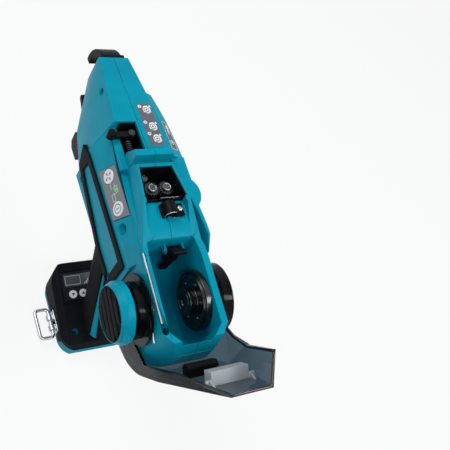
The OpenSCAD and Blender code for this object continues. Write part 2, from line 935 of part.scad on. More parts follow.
function tooth_ring(r, n, a0) = [for (k = [0:n - 1], s = [-1, 1], e = [0, 1])
    let (tip = s < 0 ? e == 1 : e == 0,
         rr = r * (tip ? 1 + gear_addendum_share : 1 - gear_dedendum_share),
         half = (tip ? tooth_tip_share : tooth_root_share) * 360 / n / 2,
         a = a0 + k * 360 / n + s * half)
    [rr * cos(a), rr * sin(a)]];

module feed_gear(bore, turn) {
    mid = (gear_z[0] + gear_z[1]) / 2;
    top_r = gear_pitch_r * (1 + gear_addendum_share);
    difference() {
        translate([0, 0, gear_z[0]]) linear_extrude(height = gear_z[1] - gear_z[0])
            polygon(tooth_ring(gear_pitch_r, gear_teeth, turn));
        rod_z(bore, gear_z[0] - over, gear_z[1] + over);
        translate([0, 0, mid]) rotate_extrude() polygon([[top_r - 2 * gear_groove, 0],
            [top_r + over, -gear_groove], [top_r + over, gear_groove]]);
    }
}

module drive_gear() {
    color(dark) place() translate([gear_x + 2 * gear_pitch_r, gear_y, 0]) feed_gear(axle_r + run_gap / 2, 0);
}

module drive_axle() {
    color(steel) place() translate([gear_x + 2 * gear_pitch_r, gear_y, 0]) difference() {
        union() {
            rod_z(axle_r, feedbox_z[0] + over, gear_z[1]);
            rod_z(axle_head_r, gear_z[1], axle_top);
        }
        translate([0, 0, axle_top - over]) cylinder(r = axle_r / 2, h = axle_top, $fn = 6);
    }
}

module idler_gear() {
    color(dark) place() translate([gear_x, gear_y, 0]) feed_gear(idler_axle_r + run_gap, 180 / gear_teeth);
}

module idler_axle() {
    color(steel) place() translate([gear_x, gear_y, 0]) difference() {
        union() {
            rod_z(idler_axle_r, arm_z[1], gear_z[1] + fit_gap);
            rod_z(axle_head_r, gear_z[1] + fit_gap, axle_top);
        }
        translate([0, 0, axle_top - over]) cylinder(r = axle_r / 2, h = axle_top, $fn = 6);
    }
}

module idler_arm() {
    color(dark) place() difference() {
        union() {
            translate([0, 0, arm_z[0]]) linear_extrude(height = arm_z[1] - arm_z[0])
                bar_2d([gear_x, gear_y], arm_pivot_at, arm_r);
            translate([0, 0, arm_z[0]]) linear_extrude(height = arm_z[1] - arm_z[0])
                bar_2d(arm_pivot_at, arm_tail_at, tail_r);
        }
        translate(arm_pivot_at) rod_z(arm_pin_post_r + run_gap, 0, deck_h);
    }
}

module arm_pin() {
    color(steel) place() translate(arm_pivot_at) {
        rod_z(arm_pin_post_r, pocket_floor + over, arm_pin_top);
        rod_z(axle_head_r, arm_z[1] + fit_gap, arm_z[1] + liner_floor_t);
    }
}

wire_x = gear_x + gear_pitch_r;
guide_y = [67, 80];
guide_r = 7.2;
guide_z = deck_h - guide_drop;
guide_base_x = [-6, 17];
guide_base_t = 3;
bell_r = 5.4;
bell_share = 0.7;
wire_way_r = 1.6;
guide_screw_at = [13.2, 74];

module wire_guide() {
    color(black) place() difference() {
        union() {
            intersection() {
                translate([wire_x, 0, guide_z]) rod_y(guide_r, guide_y[0], guide_y[1]);
                block([-reach, 0, ledge_top], [reach, reach, reach]);
            }
            block([guide_base_x[0], guide_y[0], ledge_top],
                [guide_base_x[1], guide_y[1], ledge_top + guide_base_t]);
        }
        translate([wire_x, guide_y[0] - over, guide_z]) rotate([-90, 0, 0])
            cylinder(r1 = bell_r, r2 = wire_way_r, h = (guide_y[1] - guide_y[0]) * bell_share + over);
        translate([wire_x, 0, guide_z]) rod_y(wire_way_r, guide_y[0], guide_y[1] + over);
        translate(guide_screw_at) rod_z(screw_r + run_gap, ledge_top - over, deck_h);
    }
}

module guide_screw() {
    color(steel) place() translate([guide_screw_at[0], guide_screw_at[1], ledge_top + guide_base_t])
        difference() {
        union() {
            rod_z(screw_head_r, 0, screw_head_h);
            rod_z(screw_r, -guide_base_t, 0);
        }
        translate([0, 0, screw_head_h / 2]) cylinder(r = screw_hex_r, h = screw_head_h, $fn = 6);
    }
}

// Release lever in its tray
lever_at = [-8.6, 160];
lever_z = [deck_h - lever_drop[0], deck_h - lever_drop[1]];
lever_r = 4.2;
lever_arm_r = 3.2;
lever_tip = [-29, 160];
lever_tip_r = 4;
lever_tip_top = deck_h - lever_tip_drop;
lever_pin_r = 2;
pin_head_share = 1.7;
spring_y = [139.6, 154.2];
spring_at = [-13, deck_h - spring_drop];
spring_r = 3.2;
spring_wire_r = 0.55;
spring_curls = 6;
spring_rings = 8;
spring_sides = 6;
spring_pitch = (spring_y[1] - spring_y[0] - 2 * spring_wire_r) / spring_curls;

module lever_tray() {
    color(black) place() difference() {
        block(tray_lo, tray_hi);
        block(tray_lo + [tray_t, tray_t, tray_t], [tray_hi[0] - tray_t, tray_hi[1] - tray_t, deck_h]);
        block([-reach, tray_lo[1] - over, flank_top - over],
            [tray_lo[0] + tray_t + over, tray_hi[1] - tray_t, deck_h]);
        block(tail_slot_lo, tail_slot_hi);
        translate(lever_at) rod_z(lever_pin_r + run_gap, tray_lo[2] + tray_t / 2, deck_h);
    }
}

module release_lever() {
    color(black) place() difference() {
        union() {
            translate([0, 0, lever_z[0]]) linear_extrude(height = lever_z[1] - lever_z[0]) {
                bar_2d(lever_at, lever_tip, lever_arm_r);
                translate(lever_at) circle(r = lever_r);
            }
            translate(lever_tip) rod_z(lever_tip_r, lever_z[0], lever_tip_top);
        }
        translate(lever_at) rod_z(lever_pin_r + run_gap, 0, deck_h);
    }
}

module lever_pin() {
    color(steel) place() translate(lever_at) {
        rod_z(lever_pin_r, tray_lo[2] + tray_t / 2, lever_z[1] + fit_gap);
        rod_z(lever_pin_r * pin_head_share, lever_z[1] + fit_gap, lever_z[1] + screw_r);
    }
}

// One unbroken coiled wire along Y
module coil(curls, r, wire, pitch) {
    n = curls * spring_rings;
    pts = [for (k = [0:n], s = [0:spring_sides - 1])
        let (a = k * 360 / spring_rings, b = s * 360 / spring_sides, q = r + wire * cos(b))
        [q * cos(a), k / spring_rings * pitch + wire * sin(b), q * sin(a)]];
    sides = [for (k = [0:n - 1], s = [0:spring_sides - 1], half = [0, 1])
        let (t = (s + 1) % spring_sides, a = k * spring_sides, b = a + spring_sides)
        half == 0 ? [a + s, a + t, b + t] : [a + s, b + t, b + s]];
    ends = [[for (s = [spring_sides - 1:-1:0]) s], [for (s = [0:spring_sides - 1]) n * spring_sides + s]];
    polyhedron(points = pts, faces = concat(sides, ends), convexity = curls);
}

module lever_spring() {
    color(dark) place() translate([spring_at[0], spring_y[0] + spring_wire_r, spring_at[1]])
        coil(spring_curls, spring_r, spring_wire_r, spring_pitch);
}

// Reel hub on the right wall
hub_r = 29;
hub_t = 6;
hub_gap = 0.5;
hub_seat_r = 13;
hub_seat_len = 8;
hub_shaft_r = 5;
hub_ring_r = 25.5;
hub_ring_in = 22.5;
hub_ring_h = 1.4;
hub_hole_r = 1.7;
hub_hole_at = 18;
hub_holes = 6;
hub_cap_r = 24;
hub_cap_t = 2.6;
hub_cap_gap = 0.4;

module reel_hub() {
    x1 = chamber_half_w - hub_gap;
    x0 = x1 - hub_t;
    color(black) place() difference() {
        union() {
            rod_x(hub_r, x0, x1);
            rod_x(hub_seat_r, x0 - hub_seat_len, x0);
            rod_x(hub_shaft_r, x1, boss_end + hub_cap_gap);
            difference() {
                rod_x(hub_ring_r, x0 - hub_ring_h, x0);
                rod_x(hub_ring_in, x0 - hub_ring_h - over, x0);
            }
        }
        for (k = [0:hub_holes - 1]) {
            rotate([k * 360 / hub_holes, 0, 0]) translate([0, hub_hole_at, 0])
                rod_x(hub_hole_r, x0 - over, x1 - hub_ring_h);
        }
        rod_x(hub_shaft_r, x0 - hub_seat_len - over, x0 - hub_seat_len + hub_ring_h);
    }
}

module hub_cap() {
    x0 = boss_end + hub_cap_gap;
    color(black) place() difference() {
        rod_x(hub_cap_r, x0, x0 + hub_cap_t);
        rod_x(hub_seat_r, x0 + hub_cap_t - hub_ring_h, x0 + hub_cap_t + over);
    }
}

// Reel stop knob, pulled out in the rest pose
knob_face = 62.5;
knob_back = 50;
knob_plate_t = 4.5;
knob_skirt_t = 2;
knob_bevel = 3.2;
knob_bevel_len = 6;
pad_r = 24.7;
pad_sink = 2;
pad_rib_h = 1;
pad_rib_w = 7.4;
pad_rib_step = 8.8;
pad_rib_lens = [22.6, 41.2, 47.6, 41.2, 22.6];
pad_turn = -76;

module knob_cap() {
    color(teal) place() difference() {
        union() {
            rod_x(knob_r, knob_bevel_len - knob_face, -knob_back);
            translate([-knob_face, 0, 0]) rotate([0, 90, 0])
                cylinder(r1 = knob_r - knob_bevel, r2 = knob_r, h = knob_bevel_len);
        }
        rod_x(knob_r - knob_skirt_t, -knob_face + knob_plate_t, -knob_back + over);
        rod_x(pad_r + fit_gap, -knob_face - over, -knob_face + pad_sink);
    }
}

module knob_pad() {
    n = len(pad_rib_lens);
    color(black) place() {
        rod_x(pad_r, -knob_face, -knob_face + pad_sink);
        rotate([pad_turn, 0, 0]) for (k = [0:n - 1]) {
            translate([-knob_face - pad_rib_h, (k - (n - 1) / 2) * pad_rib_step, 0])
                translate([0, -pad_rib_w / 2, -pad_rib_lens[k] / 2])
                    cube([pad_rib_h, pad_rib_w, pad_rib_lens[k]]);
        }
    }
}

module knob_spindle() {
    color(black) place() difference() {
        rod_x(spindle_r, -knob_face + knob_plate_t, -chamber_half_w - run_gap);
        rod_x(spindle_r - wall, -chamber_half_w - pad_sink, -chamber_half_w + over);
    }
}

// Reel cover: a drum over the reel that runs into a tapering lid, drawn closed and then swung open
cover_half_w = 37.5;
cover_flat_y = 30;
lid_end_y = 124;
lid_rise = 1;
lid_end_top_half_w = 20;
lid_end_low_half_w = 25;
lid_low_z = 31;
ring_r = 33;
left_ring_r = 26;
cover_skirt = [[-30, 18], [23, 20], [45, 30], [73, 35]];
cover_back_z = 22;
ring_run = 0.08;
skirt_gap = 0.6;
lip_edge = [[-12, 30], [8, 49], [60, 49], [88, 53.5], [125, 58.4]];

// Height of the lid's inner face
function lid_under(y) = cover_r - cover_t + lid_rise * (y - cover_flat_y) / (lid_end_y + over - cover_flat_y);

// What the lid's left skirt lacks, so that only a low lip is left beside the feed
module lip_cut() {
    end = lip_edge[len(lip_edge) - 1][0];
    across(-reach, 0) polygon(concat(lip_edge, [[end, 0], [lip_edge[0][0], 0]]));
}

module lid_slice(y, top_half, low_half, top, i) {
    t = top - i;
    k = (low_half - top_half) / (top - lid_low_z);
    low = top_half + k * top;
    translate([0, y, 0]) along(0, slice_t)
        polygon([[-low + i, 0], [-top_half - k * i + i, t], [top_half + k * i - i, t], [low - i, 0]]);
}

module cover_form(i, end) {
    across(-cover_half_w + i, cover_half_w - i) {
        intersection() {
            circle(r = cover_r - i);
            translate([-reach, 0]) square([reach, reach]);
        }
        translate([-slice_t, 0]) square([cover_flat_y + 2 * slice_t, cover_r - i]);
    }
    hull() {
        lid_slice(cover_flat_y, cover_half_w, cover_half_w, cover_r, i);
        lid_slice(lid_end_y - slice_t + end, lid_end_top_half_w, lid_end_low_half_w, cover_r + lid_rise, i);
    }
}

module cover_plate(x0, x1, r) {
    difference() {
        rod_x(r, x0, x1);
        rod_x(boss_r + ring_run, x0 - over, x1 + over);
    }
}

module swung() {
    place() rotate([cover_open, 0, 0]) children();
}

module reel_cover() {
    far = cover_r + over;
    inner = cover_half_w - cover_t;
    color([0.35, 0.37, 0.39, 0.6]) swung() {
        difference() {
            intersection() {
                cover_form(0, 0);
                across(-reach, reach) polygon(concat([[-far, cover_back_z]], cover_skirt,
                    [[lid_end_y, lid_low_z],
                    [lid_end_y, far + lid_rise], [-far, far + lid_rise]]));
            }
            cover_form(cover_t, over);
            rod_x(ring_r - over, -reach, reach);
            lip_cut();
        }
        cover_plate(inner, boss_end, ring_r);
        cover_plate(-cover_half_w, -inner, ring_r);
        cover_plate(-boss_end, -inner, left_ring_r);
    }
}

// Frosted bracket and black hold-down block under the lid
bracket_y = [80.6, 92];
bracket_half_w = 18;
bracket_low = 46;
bracket_t = 1.8;
bracket_wing_half_w = 23.6;
bracket_wing_low = deck_h + skirt_gap;
gusset_x = 20.2;
gusset_len = 8;
hold_x = [-18, 12];
hold_y = [42, 54];
hold_low = 46;

module cover_bracket() {
    top = lid_under(bracket_y[0]);
    y1 = bracket_y[1];
    color([0.85, 0.88, 0.9, 0.7]) swung() {
        block([-bracket_half_w, bracket_y[1] - bracket_t, bracket_low], [bracket_half_w, bracket_y[1], top]);
        block([-bracket_half_w, bracket_y[0], bracket_low],
            [bracket_half_w, bracket_y[1], bracket_low + bracket_t]);
        for (x = [-bracket_half_w, bracket_half_w - bracket_t]) {
            block([x, bracket_y[0], bracket_low], [x + bracket_t, bracket_y[1], top]);
        }
        block([-bracket_wing_half_w, y1 - bracket_t, bracket_wing_low], [bracket_wing_half_w, y1, top]);
        for (x = [-gusset_x, gusset_x - bracket_t]) {
            across(x, x + bracket_t) polygon([[y1 - bracket_t, top], [y1 - bracket_t, bracket_wing_low],
                [y1, bracket_wing_low], [y1 + gusset_len, top]]);
        }
    }
}

module cover_block() {
    color(black) swung() across(hold_x[0], hold_x[1]) polygon([[hold_y[0], cover_r - cover_t],
        [hold_y[0], hold_low + wall], [hold_y[0] + wall, hold_low], [hold_y[1] - wall, hold_low],
            [hold_y[1], hold_low + wall],
        [hold_y[1], cover_r - cover_t]]);
}

// Steel spring wire laid in the left rim and down the wall
wire_r = 1;
wire_from = [-31, -27, 28.3];
wire_len = 66;
wire_slope = atan2(rim_front[1] - rim_back[1], rim_front[0] - rim_back[0]);
wire_leg_from = [-34.05, -14, 19];
wire_leg_to = [-34.05, -36, 9];
wire_leg_r = 0.8;

module cover_spring() {
    leg = wire_leg_to - wire_leg_from;
    color(steel) place() {
        translate(wire_from) rotate([wire_slope, 0, 0]) rod_y(wire_r, fit_gap, wire_len - fit_gap);
        translate(wire_leg_from) rotate([-atan2(leg[2], -leg[1]), 0, 0]) rod_y(wire_leg_r, -norm(leg), 0);
    }
}

// Reel brake in the front of the chamber
brake_pivot = [43.5, 24];
brake_ears = [-5, 13];
brake_ear_t = 2.4;
brake_ear_r = 3.4;
brake_pin_r = 1.6;
brake_x = [-1.8, 12.2];
brake_r = 3.2;
brake_elbow = [41, 12];
brake_toe = [43, -12];
brake_toe_x = 4;
brake_head = [36, 33];
brake_toe_share = 0.75;
brake_head_share = 0.8;

module brake_lever() {
    color(black) place() difference() {
        union() {
            across(brake_x[0], brake_x[1]) bar_2d(brake_pivot, brake_elbow, brake_r);
            across(brake_toe_x, brake_x[1]) bar_2d(brake_elbow, brake_toe, brake_r * brake_toe_share);
            across(brake_x[0], brake_x[1]) bar_2d(brake_pivot, brake_head, brake_r * brake_head_share);
        }
        translate([0, brake_pivot[0], brake_pivot[1]]) rod_x(brake_pin_r + run_gap, -reach, reach);
    }
}

module brake_pin() {
    color(steel) place() translate([0, brake_pivot[0], brake_pivot[1]])
        rod_x(brake_pin_r, brake_ears[0], brake_ears[1] + brake_ear_t);
}

// Jaw: fixed curl guide above, hinged arm below
jaw_sink = 5;
jaw_at = [nose_reach - jaw_sink, 9];
jaw_r = 33;
jaw_t = 7;
jaw_half_w = 10;
jaw_low = 6;
jaw_flange_share = 1.25;
arm_half_w = 8.7;
arm_heel_ahead = [18, -12];
arm_toe_ahead = [34, -6];
arm_heel = arm_pivot + arm_heel_ahead;
arm_toe = arm_pivot + arm_toe_ahead;
arm_heel_share = 0.86;
arm_toe_share = 0.6;

module curl_guide() {
    color(black) place() difference() {
        union() {
            across(-jaw_half_w, jaw_half_w) intersection() {
                translate(jaw_at) difference() {
                    circle(r = jaw_r);
                    circle(r = jaw_r - jaw_t);
                }
                translate([nose_reach, jaw_low]) square([reach, reach]);
            }
            block([-jaw_half_w * jaw_flange_share, nose_reach, twist_z + mouth_r + over],
                [jaw_half_w * jaw_flange_share, nose_reach + jaw_t / 2, jaw_at[1] + jaw_r]);
        }
        across(-wire_way_r, wire_way_r) translate(jaw_at) circle(r = jaw_r - jaw_t + wire_way_r);
    }
}

module lower_arm() {
    color(black) place() difference() {
        union() {
            across(-arm_half_w, arm_half_w) bar_2d(arm_pivot, arm_heel, ear_r * arm_heel_share);
            across(-arm_half_w, arm_half_w) bar_2d(arm_heel, arm_toe, ear_r * arm_toe_share);
        }
        translate([0, arm_pivot[0], arm_pivot[1]]) rod_x(arm_pin_r + run_gap, -reach, reach);
    }
}

module arm_pivot_pin() {
    color(steel) place() translate([0, arm_pivot[0], arm_pivot[1]]) rod_x(arm_pin_r, -ear_out, ear_out);
}

// Twisting drive inside the body
shaft_back = 6;
hook_len = 13;
hook_slot = 1.6;
hook_notch_shares = [0.5, 0.75];
rotor_r = 4;
rotor_core_r = 11;
can_t = 3;
rotor_end_gap = 4;

module twist_shaft() {
    color(steel) place() translate([0, 0, twist_z])
        rod_y(twist_r, gear_case_y[1] - shaft_back, nose_reach + over);
}

module twist_hook() {
    y0 = nose_reach + over;
    color(steel) place() translate([0, 0, twist_z]) difference() {
        rod_y(twist_r, y0, y0 + hook_len);
        block([-hook_slot, y0 + hook_len / 3, -reach], [hook_slot, y0 + 2 * hook_len, reach]);
        block([-reach, y0 + hook_len * hook_notch_shares[0], -hook_slot],
            [0, y0 + hook_len * hook_notch_shares[1], reach]);
        block([0, y0 + hook_len * hook_notch_shares[0], -reach],
            [reach, y0 + hook_len * hook_notch_shares[1], hook_slot]);
    }
}

module gear_case() {
    flange_half_w = body_half_w - wall - case_gap;
    color([0.7, 0.71, 0.72]) place() difference() {
        union() {
            along(gear_case_y[0], gear_case_y[1]) {
                translate([0, motor_z]) circle(r = gear_case_r);
                translate([0, twist_z]) circle(r = gear_case_small_r);
                translate([-gear_case_small_r, motor_z]) square([2 * gear_case_small_r, twist_z - motor_z]);
            }
            block([-flange_half_w, gear_case_y[0], motor_z - case_flange_h / 2],
                [flange_half_w, gear_case_y[0] + case_flange_t, motor_z + case_flange_h / 2]);
        }
        translate([0, 0, twist_z])
            rod_y(twist_r + run_gap, gear_case_y[1] - shaft_back - over, gear_case_y[1] + over);
        translate([0, 0, motor_z])
            rod_y(rotor_r + run_gap, gear_case_y[0] - over, gear_case_y[0] + shaft_back + over);
    }
}

module motor_can() {
    color(dark) place() translate([0, 0, motor_z]) difference() {
        rod_y(motor_r, motor_y[0], motor_y[1]);
        rod_y(motor_r - can_t, motor_y[0] + can_t, motor_y[1] - can_t);
        rod_y(rotor_r + run_gap, motor_y[0] + can_t / 2, motor_y[1] + over);
    }
}

module motor_rotor() {
    color(steel) place() translate([0, 0, motor_z]) {
        rod_y(rotor_r, motor_y[0] + can_t / 2, gear_case_y[0] + shaft_back);
        rod_y(rotor_core_r, motor_y[0] + can_t + rotor_end_gap, motor_y[1] - can_t - rotor_end_gap);
    }
}

feed_motor_at = [31, 95];
feed_motor_r = 10.5;
feed_motor_z = [deck_h - feed_motor_drop, deck_h - feedbox_drop[0]];
feedbox_x = [3, 40];
feedbox_half_d = 8;
feedbox_z = [deck_h - feedbox_drop[0], deck_h - feedbox_drop[1]];

module feed_motor() {
    color(dark) place() translate(feed_motor_at) rod_z(feed_motor_r, feed_motor_z[0], feed_motor_z[1]);
}

module feed_gearbox() {
    color(dark) place() difference() {
        block([feedbox_x[0], gear_y - feedbox_half_d, feedbox_z[0]],
            [feedbox_x[1], gear_y + feedbox_half_d / 2, feedbox_z[1]]);
        translate([gear_x + 2 * gear_pitch_r, gear_y, 0])
            rod_z(axle_r + run_gap, feedbox_z[0] + over / 2, deck_h);
    }
}

// Work lamp under the nose
lamp_back = 57;
lamp_len = 28;
lamp_flat_len = 12;
lamp_gap = 0.1;
lamp_half_w = 24;
lamp_y = [nose_reach - lamp_back, nose_reach - lamp_back + lamp_len];
lamp_low = -66;
lamp_top = nose_under(lamp_y[0]) - lamp_gap;
lamp_step = [lamp_y[0] + lamp_flat_len, nose_under(lamp_y[0] + lamp_flat_len) - lamp_gap];
lamp_front_top = -44;
lamp_lens_z = -52;
lamp_lens_r = 5;
lamp_lens_t = 2;
lamp_key = 6;

// The nose's underside between its second and third sections
function nose_under(y) =
    let (a = nose_shares[1], b = nose_shares[2], k = (y - nose_start) / (nose_reach - nose_start))
    body_below * (a[3] + (b[3] - a[3]) * (k - a[0]) / (b[0] - a[0]));

module lamp_body() {
    color(black) place() difference() {
        union() {
            across(-lamp_half_w, lamp_half_w)
                polygon([[lamp_y[0], lamp_top], lamp_step, [lamp_y[1], lamp_front_top],
                [lamp_y[1], lamp_low + lamp_key], [lamp_y[1] - lamp_key, lamp_low],
                    [lamp_y[0] + lamp_key, lamp_low]]);
            translate([0, lamp_y[0], 0])
                block([-lamp_key, 0, lamp_top], [lamp_key, lamp_key, lamp_top + lamp_key]);
        }
        translate([0, 0, lamp_lens_z]) rod_y(lamp_lens_r, lamp_y[1] - lamp_lens_t, lamp_y[1] + over);
    }
}

module lamp_lens() {
    color([0.9, 0.93, 0.95]) place() translate([0, 0, lamp_lens_z])
        rod_y(lamp_lens_r - run_gap, lamp_y[1] - lamp_lens_t, lamp_y[1] + lamp_lens_t / 2);
}

// Trigger, its lock and the switch behind it
trigger_face = [146, 147, 139, 131];
trigger_back = 119;
trigger_travel = 7;
lock_place = [112, -64];
lock_r = 4;
lock_over = 3;
switch_y = [92, 109];
switch_half_w = 9;
switch_z = [-93, -72];
switch_peg = [102, -82];
switch_peg_r = 2;

module trigger() {
    z0 = trigger_low;
    z1 = trigger_top;
    color(black) place() across(-trigger_half_w, trigger_half_w)
        polygon([[trigger_back, z0], [trigger_face[3], z0], [trigger_face[2], z0 + (z1 - z0) / 3],
            [trigger_face[1], z1 - (z1 - z0) / 4], [trigger_face[0], z1],
                [trigger_back + trigger_travel, z1]]);
}

module lock_button() {
    color(black) place() translate([0, lock_place[0], lock_place[1]])
        rod_x(lock_r, -grip_half_w - lock_over, grip_half_w + lock_over);
}

module switch_block() {
    peg = grip_half_w - wall - run_gap;
    color(black) place() {
        block([-switch_half_w, switch_y[0], switch_z[0]], [switch_half_w, switch_y[1], switch_z[1]]);
        translate([0, switch_peg[0], switch_peg[1]]) rod_x(switch_peg_r, -peg, peg);
    }
}

// Controller board over the battery slide
board_half_w = 30;
board_y = [72, 124];
board_t = 1.6;
board_up = 0.5;
board_parts = [[-18, 80, 9], [0, 84, 7], [14, 96, 10], [-10, 106, 8]];
board_part_h = 4;

module controller_board() {
    z0 = foot_room_floor + board_up;
    color([0.05, 0.3, 0.15]) place() {
        block([-board_half_w, board_y[0], foot_room_floor], [-board_half_w + wall, board_y[1], z0]);
        block([-board_half_w, board_y[0], z0], [board_half_w, board_y[1], z0 + board_t]);
        for (p = board_parts) {
            translate([p[0], p[1], z0 + board_t]) cube([p[2], p[2], board_part_h]);
        }
    }
}

// Battery contacts hanging in the slide
term_half_w = 14;
term_y = [54, 82];
term_h = 7;
blade_xs = [-10, -4, 4, 10];
blade_t = 0.9;
blade_len = 15;
blade_h = 4.5;

module terminal_block() {
    top = -axis_height + slide_h;
    color(black) place() difference() {
        block([-term_half_w, term_y[0], top - term_h], [term_half_w, term_y[1], top]);
        for (x = blade_xs) {
            block([x - blade_t, term_y[0] + wall, top - term_h - over],
                [x + blade_t, term_y[1] + over, top - term_h + blade_h]);
        }
    }
}

module terminal_blades() {
    z1 = -axis_height + slide_h - term_h + blade_h;
    color([0.75, 0.6, 0.25]) place() for (x = blade_xs) {
        block([x - blade_t / 2, term_y[1] - blade_len - wall, z1 - blade_h],
            [x + blade_t / 2, term_y[1] - wall, z1]);
    }
}

// Belt hook on the foot's left side
hook_y = [62, 88];
hook_up = 12;
hook_z = hook_up - axis_height;
hook_plate_h = 14;
hook_plate_t = 2;
hook_axis_x = -46.6;
hook_wire_r = 2;
hook_eye_r = 3.6;
hook_out = 15;
hook_bend_r = 4;
hook_eyes = [[66, 72], [78, 84]];
hook_run = 0.07;

module hook_bracket() {
    x0 = -foot_half_w - hook_plate_t;
    color(steel) place() difference() {
        union() {
            block([x0, hook_y[0], hook_z - hook_plate_h / 2],
                [-foot_half_w, hook_y[1], hook_z + hook_plate_h / 2]);
            for (e = hook_eyes) {
                translate([hook_axis_x, 0, hook_z]) rod_y(hook_eye_r, e[0], e[1]);
                block([hook_axis_x, e[0], hook_z - hook_eye_r], [x0 + run_gap, e[1], hook_z + hook_eye_r]);
            }
        }
        translate([hook_axis_x, 0, hook_z])
            rod_y(hook_wire_r + hook_run, hook_y[0] - over, hook_y[1] + over);
    }
}

// A quarter bend of the hook's wire, centred on the bend
module hook_bend(turn) {
    rotate([0, 0, turn]) rotate_extrude(angle = 90) translate([hook_bend_r, 0]) circle(r = hook_wire_r);
}

module belt_hook() {
    x0 = hook_axis_x - hook_bend_r;
    x1 = hook_axis_x - hook_out + hook_bend_r;
    y0 = hook_y[0];
    y1 = hook_y[1];
    color(steel) place() translate([0, 0, hook_z]) {
        translate([hook_axis_x, 0, 0]) rod_y(hook_wire_r, y0, y1);
        translate([hook_axis_x - hook_out, 0, 0]) rod_y(hook_wire_r, y0, y1);
        for (y = [y0 - hook_bend_r, y1 + hook_bend_r]) {
            translate([0, y, 0]) rod_x(hook_wire_r, x1, x0);
        }
        translate([x0, y1, 0]) hook_bend(0);
        translate([x1, y1, 0]) hook_bend(90);
        translate([x1, y0, 0]) hook_bend(180);
        translate([x0, y0, 0]) hook_bend(270);
    }
}

left_housing();
right_housing();
left_side_rubber();
right_side_rubber();
grip_rubber();
foot_rubber();
housing_screws();
button_panel();
power_button();
mode_button();
indicator_lamp();
display_panel();
display_glass();
down_button();
up_button();
feed_liner();
drive_gear();
drive_axle();
idler_gear();
idler_axle();
idler_arm();
arm_pin();
wire_guide();
guide_screw();
lever_tray();
release_lever();
lever_pin();
lever_spring();
reel_hub();
hub_cap();
knob_cap();
knob_pad();
knob_spindle();
reel_cover();
cover_bracket();
cover_block();
cover_spring();
brake_lever();
brake_pin();
curl_guide();
lower_arm();
arm_pivot_pin();
twist_shaft();
twist_hook();
gear_case();
motor_can();
motor_rotor();
feed_motor();
feed_gearbox();
lamp_body();
lamp_lens();
trigger();
lock_button();
switch_block();
controller_board();
terminal_block();
terminal_blades();
hook_bracket();
belt_hook();
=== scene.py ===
import bmesh
import bpy
import json
import math
from mathutils import Matrix, Vector


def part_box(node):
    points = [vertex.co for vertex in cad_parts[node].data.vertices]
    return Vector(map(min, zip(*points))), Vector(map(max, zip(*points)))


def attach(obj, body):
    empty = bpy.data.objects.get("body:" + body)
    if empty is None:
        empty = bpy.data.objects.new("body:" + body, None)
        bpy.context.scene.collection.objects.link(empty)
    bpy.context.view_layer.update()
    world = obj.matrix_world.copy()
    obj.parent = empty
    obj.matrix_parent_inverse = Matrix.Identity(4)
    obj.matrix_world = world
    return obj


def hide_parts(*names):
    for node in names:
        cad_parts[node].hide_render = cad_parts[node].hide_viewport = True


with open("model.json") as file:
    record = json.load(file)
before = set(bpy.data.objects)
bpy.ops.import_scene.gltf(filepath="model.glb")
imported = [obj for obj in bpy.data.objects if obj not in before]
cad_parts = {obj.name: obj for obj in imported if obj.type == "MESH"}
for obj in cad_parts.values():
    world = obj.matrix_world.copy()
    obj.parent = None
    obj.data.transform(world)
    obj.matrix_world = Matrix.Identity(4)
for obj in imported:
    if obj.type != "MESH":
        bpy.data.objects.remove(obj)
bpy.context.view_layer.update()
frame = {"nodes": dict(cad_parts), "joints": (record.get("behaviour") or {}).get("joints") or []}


# Studio: a long lens above and behind the tool's left side, a pale floor under it and soft overhead light.
# To the camera, through clear plastic and in reflections, the floor is a white sheet that keeps its shadow.

def linear(code):
    channels = [int(code[i:i + 2], 16) / 255 for i in (1, 3, 5)]
    return [c / 12.92 if c <= 0.04045 else ((c + 0.055) / 1.055) ** 2.4 for c in channels] + [1]


def add(tree, kind, inputs=None, **settings):
    item = tree.nodes.new(kind)
    for key, value in settings.items():
        setattr(item, key, value)
    for key, value in (inputs or {}).items():
        if isinstance(value, bpy.types.NodeSocket):
            tree.links.new(value, item.inputs[key])
        else:
            item.inputs[key].default_value = value
    return item


def link(item):
    bpy.context.scene.collection.objects.link(item)
    return item


scene = bpy.context.scene
scene.view_settings.view_transform = "Standard"

eye = (-0.311, -0.294, 0.802)
lens_right = (0.849, -0.322, 0.419)
lens_up = (0.090, 0.870, 0.485)
lens_back = (-0.520, -0.374, 0.768)
lens = bpy.data.cameras.new("camera")
lens.lens = 60
lens.sensor_width = 36
lens.clip_end = 30
camera = link(bpy.data.objects.new("camera", lens))
facing = Matrix((lens_right, lens_up, lens_back)).transposed()
camera.matrix_world = Matrix.Translation(eye) @ facing.to_4x4()
scene.camera = camera


# One for the rays that show the backdrop itself, nought for those that only light the tool.
def seen_as_backdrop(tree):
    path = add(tree, "ShaderNodeLightPath").outputs
    rays = path["Is Camera Ray"]
    for kind in ("Is Transmission Ray", "Is Glossy Ray"):
        rays = add(tree, "ShaderNodeMath", {0: rays, 1: path[kind]}, operation="MAXIMUM").outputs[0]
    return rays


sky = bpy.data.worlds.new("studio")
scene.world = sky
sky.use_nodes = True
tree = sky.node_tree
tree.nodes.clear()
soft_sky = add(tree, "ShaderNodeBackground", {"Color": linear("#F4F7FA"), "Strength": 0.36})
white_sky = add(tree, "ShaderNodeBackground", {"Color": linear("#FFFFFF"), "Strength": 1.0})
sky_mix = add(tree, "ShaderNodeMixShader", {
    0: seen_as_backdrop(tree), 1: soft_sky.outputs[0], 2: white_sky.outputs[0]})
add(tree, "ShaderNodeOutputWorld", {"Surface": sky_mix.outputs[0]})

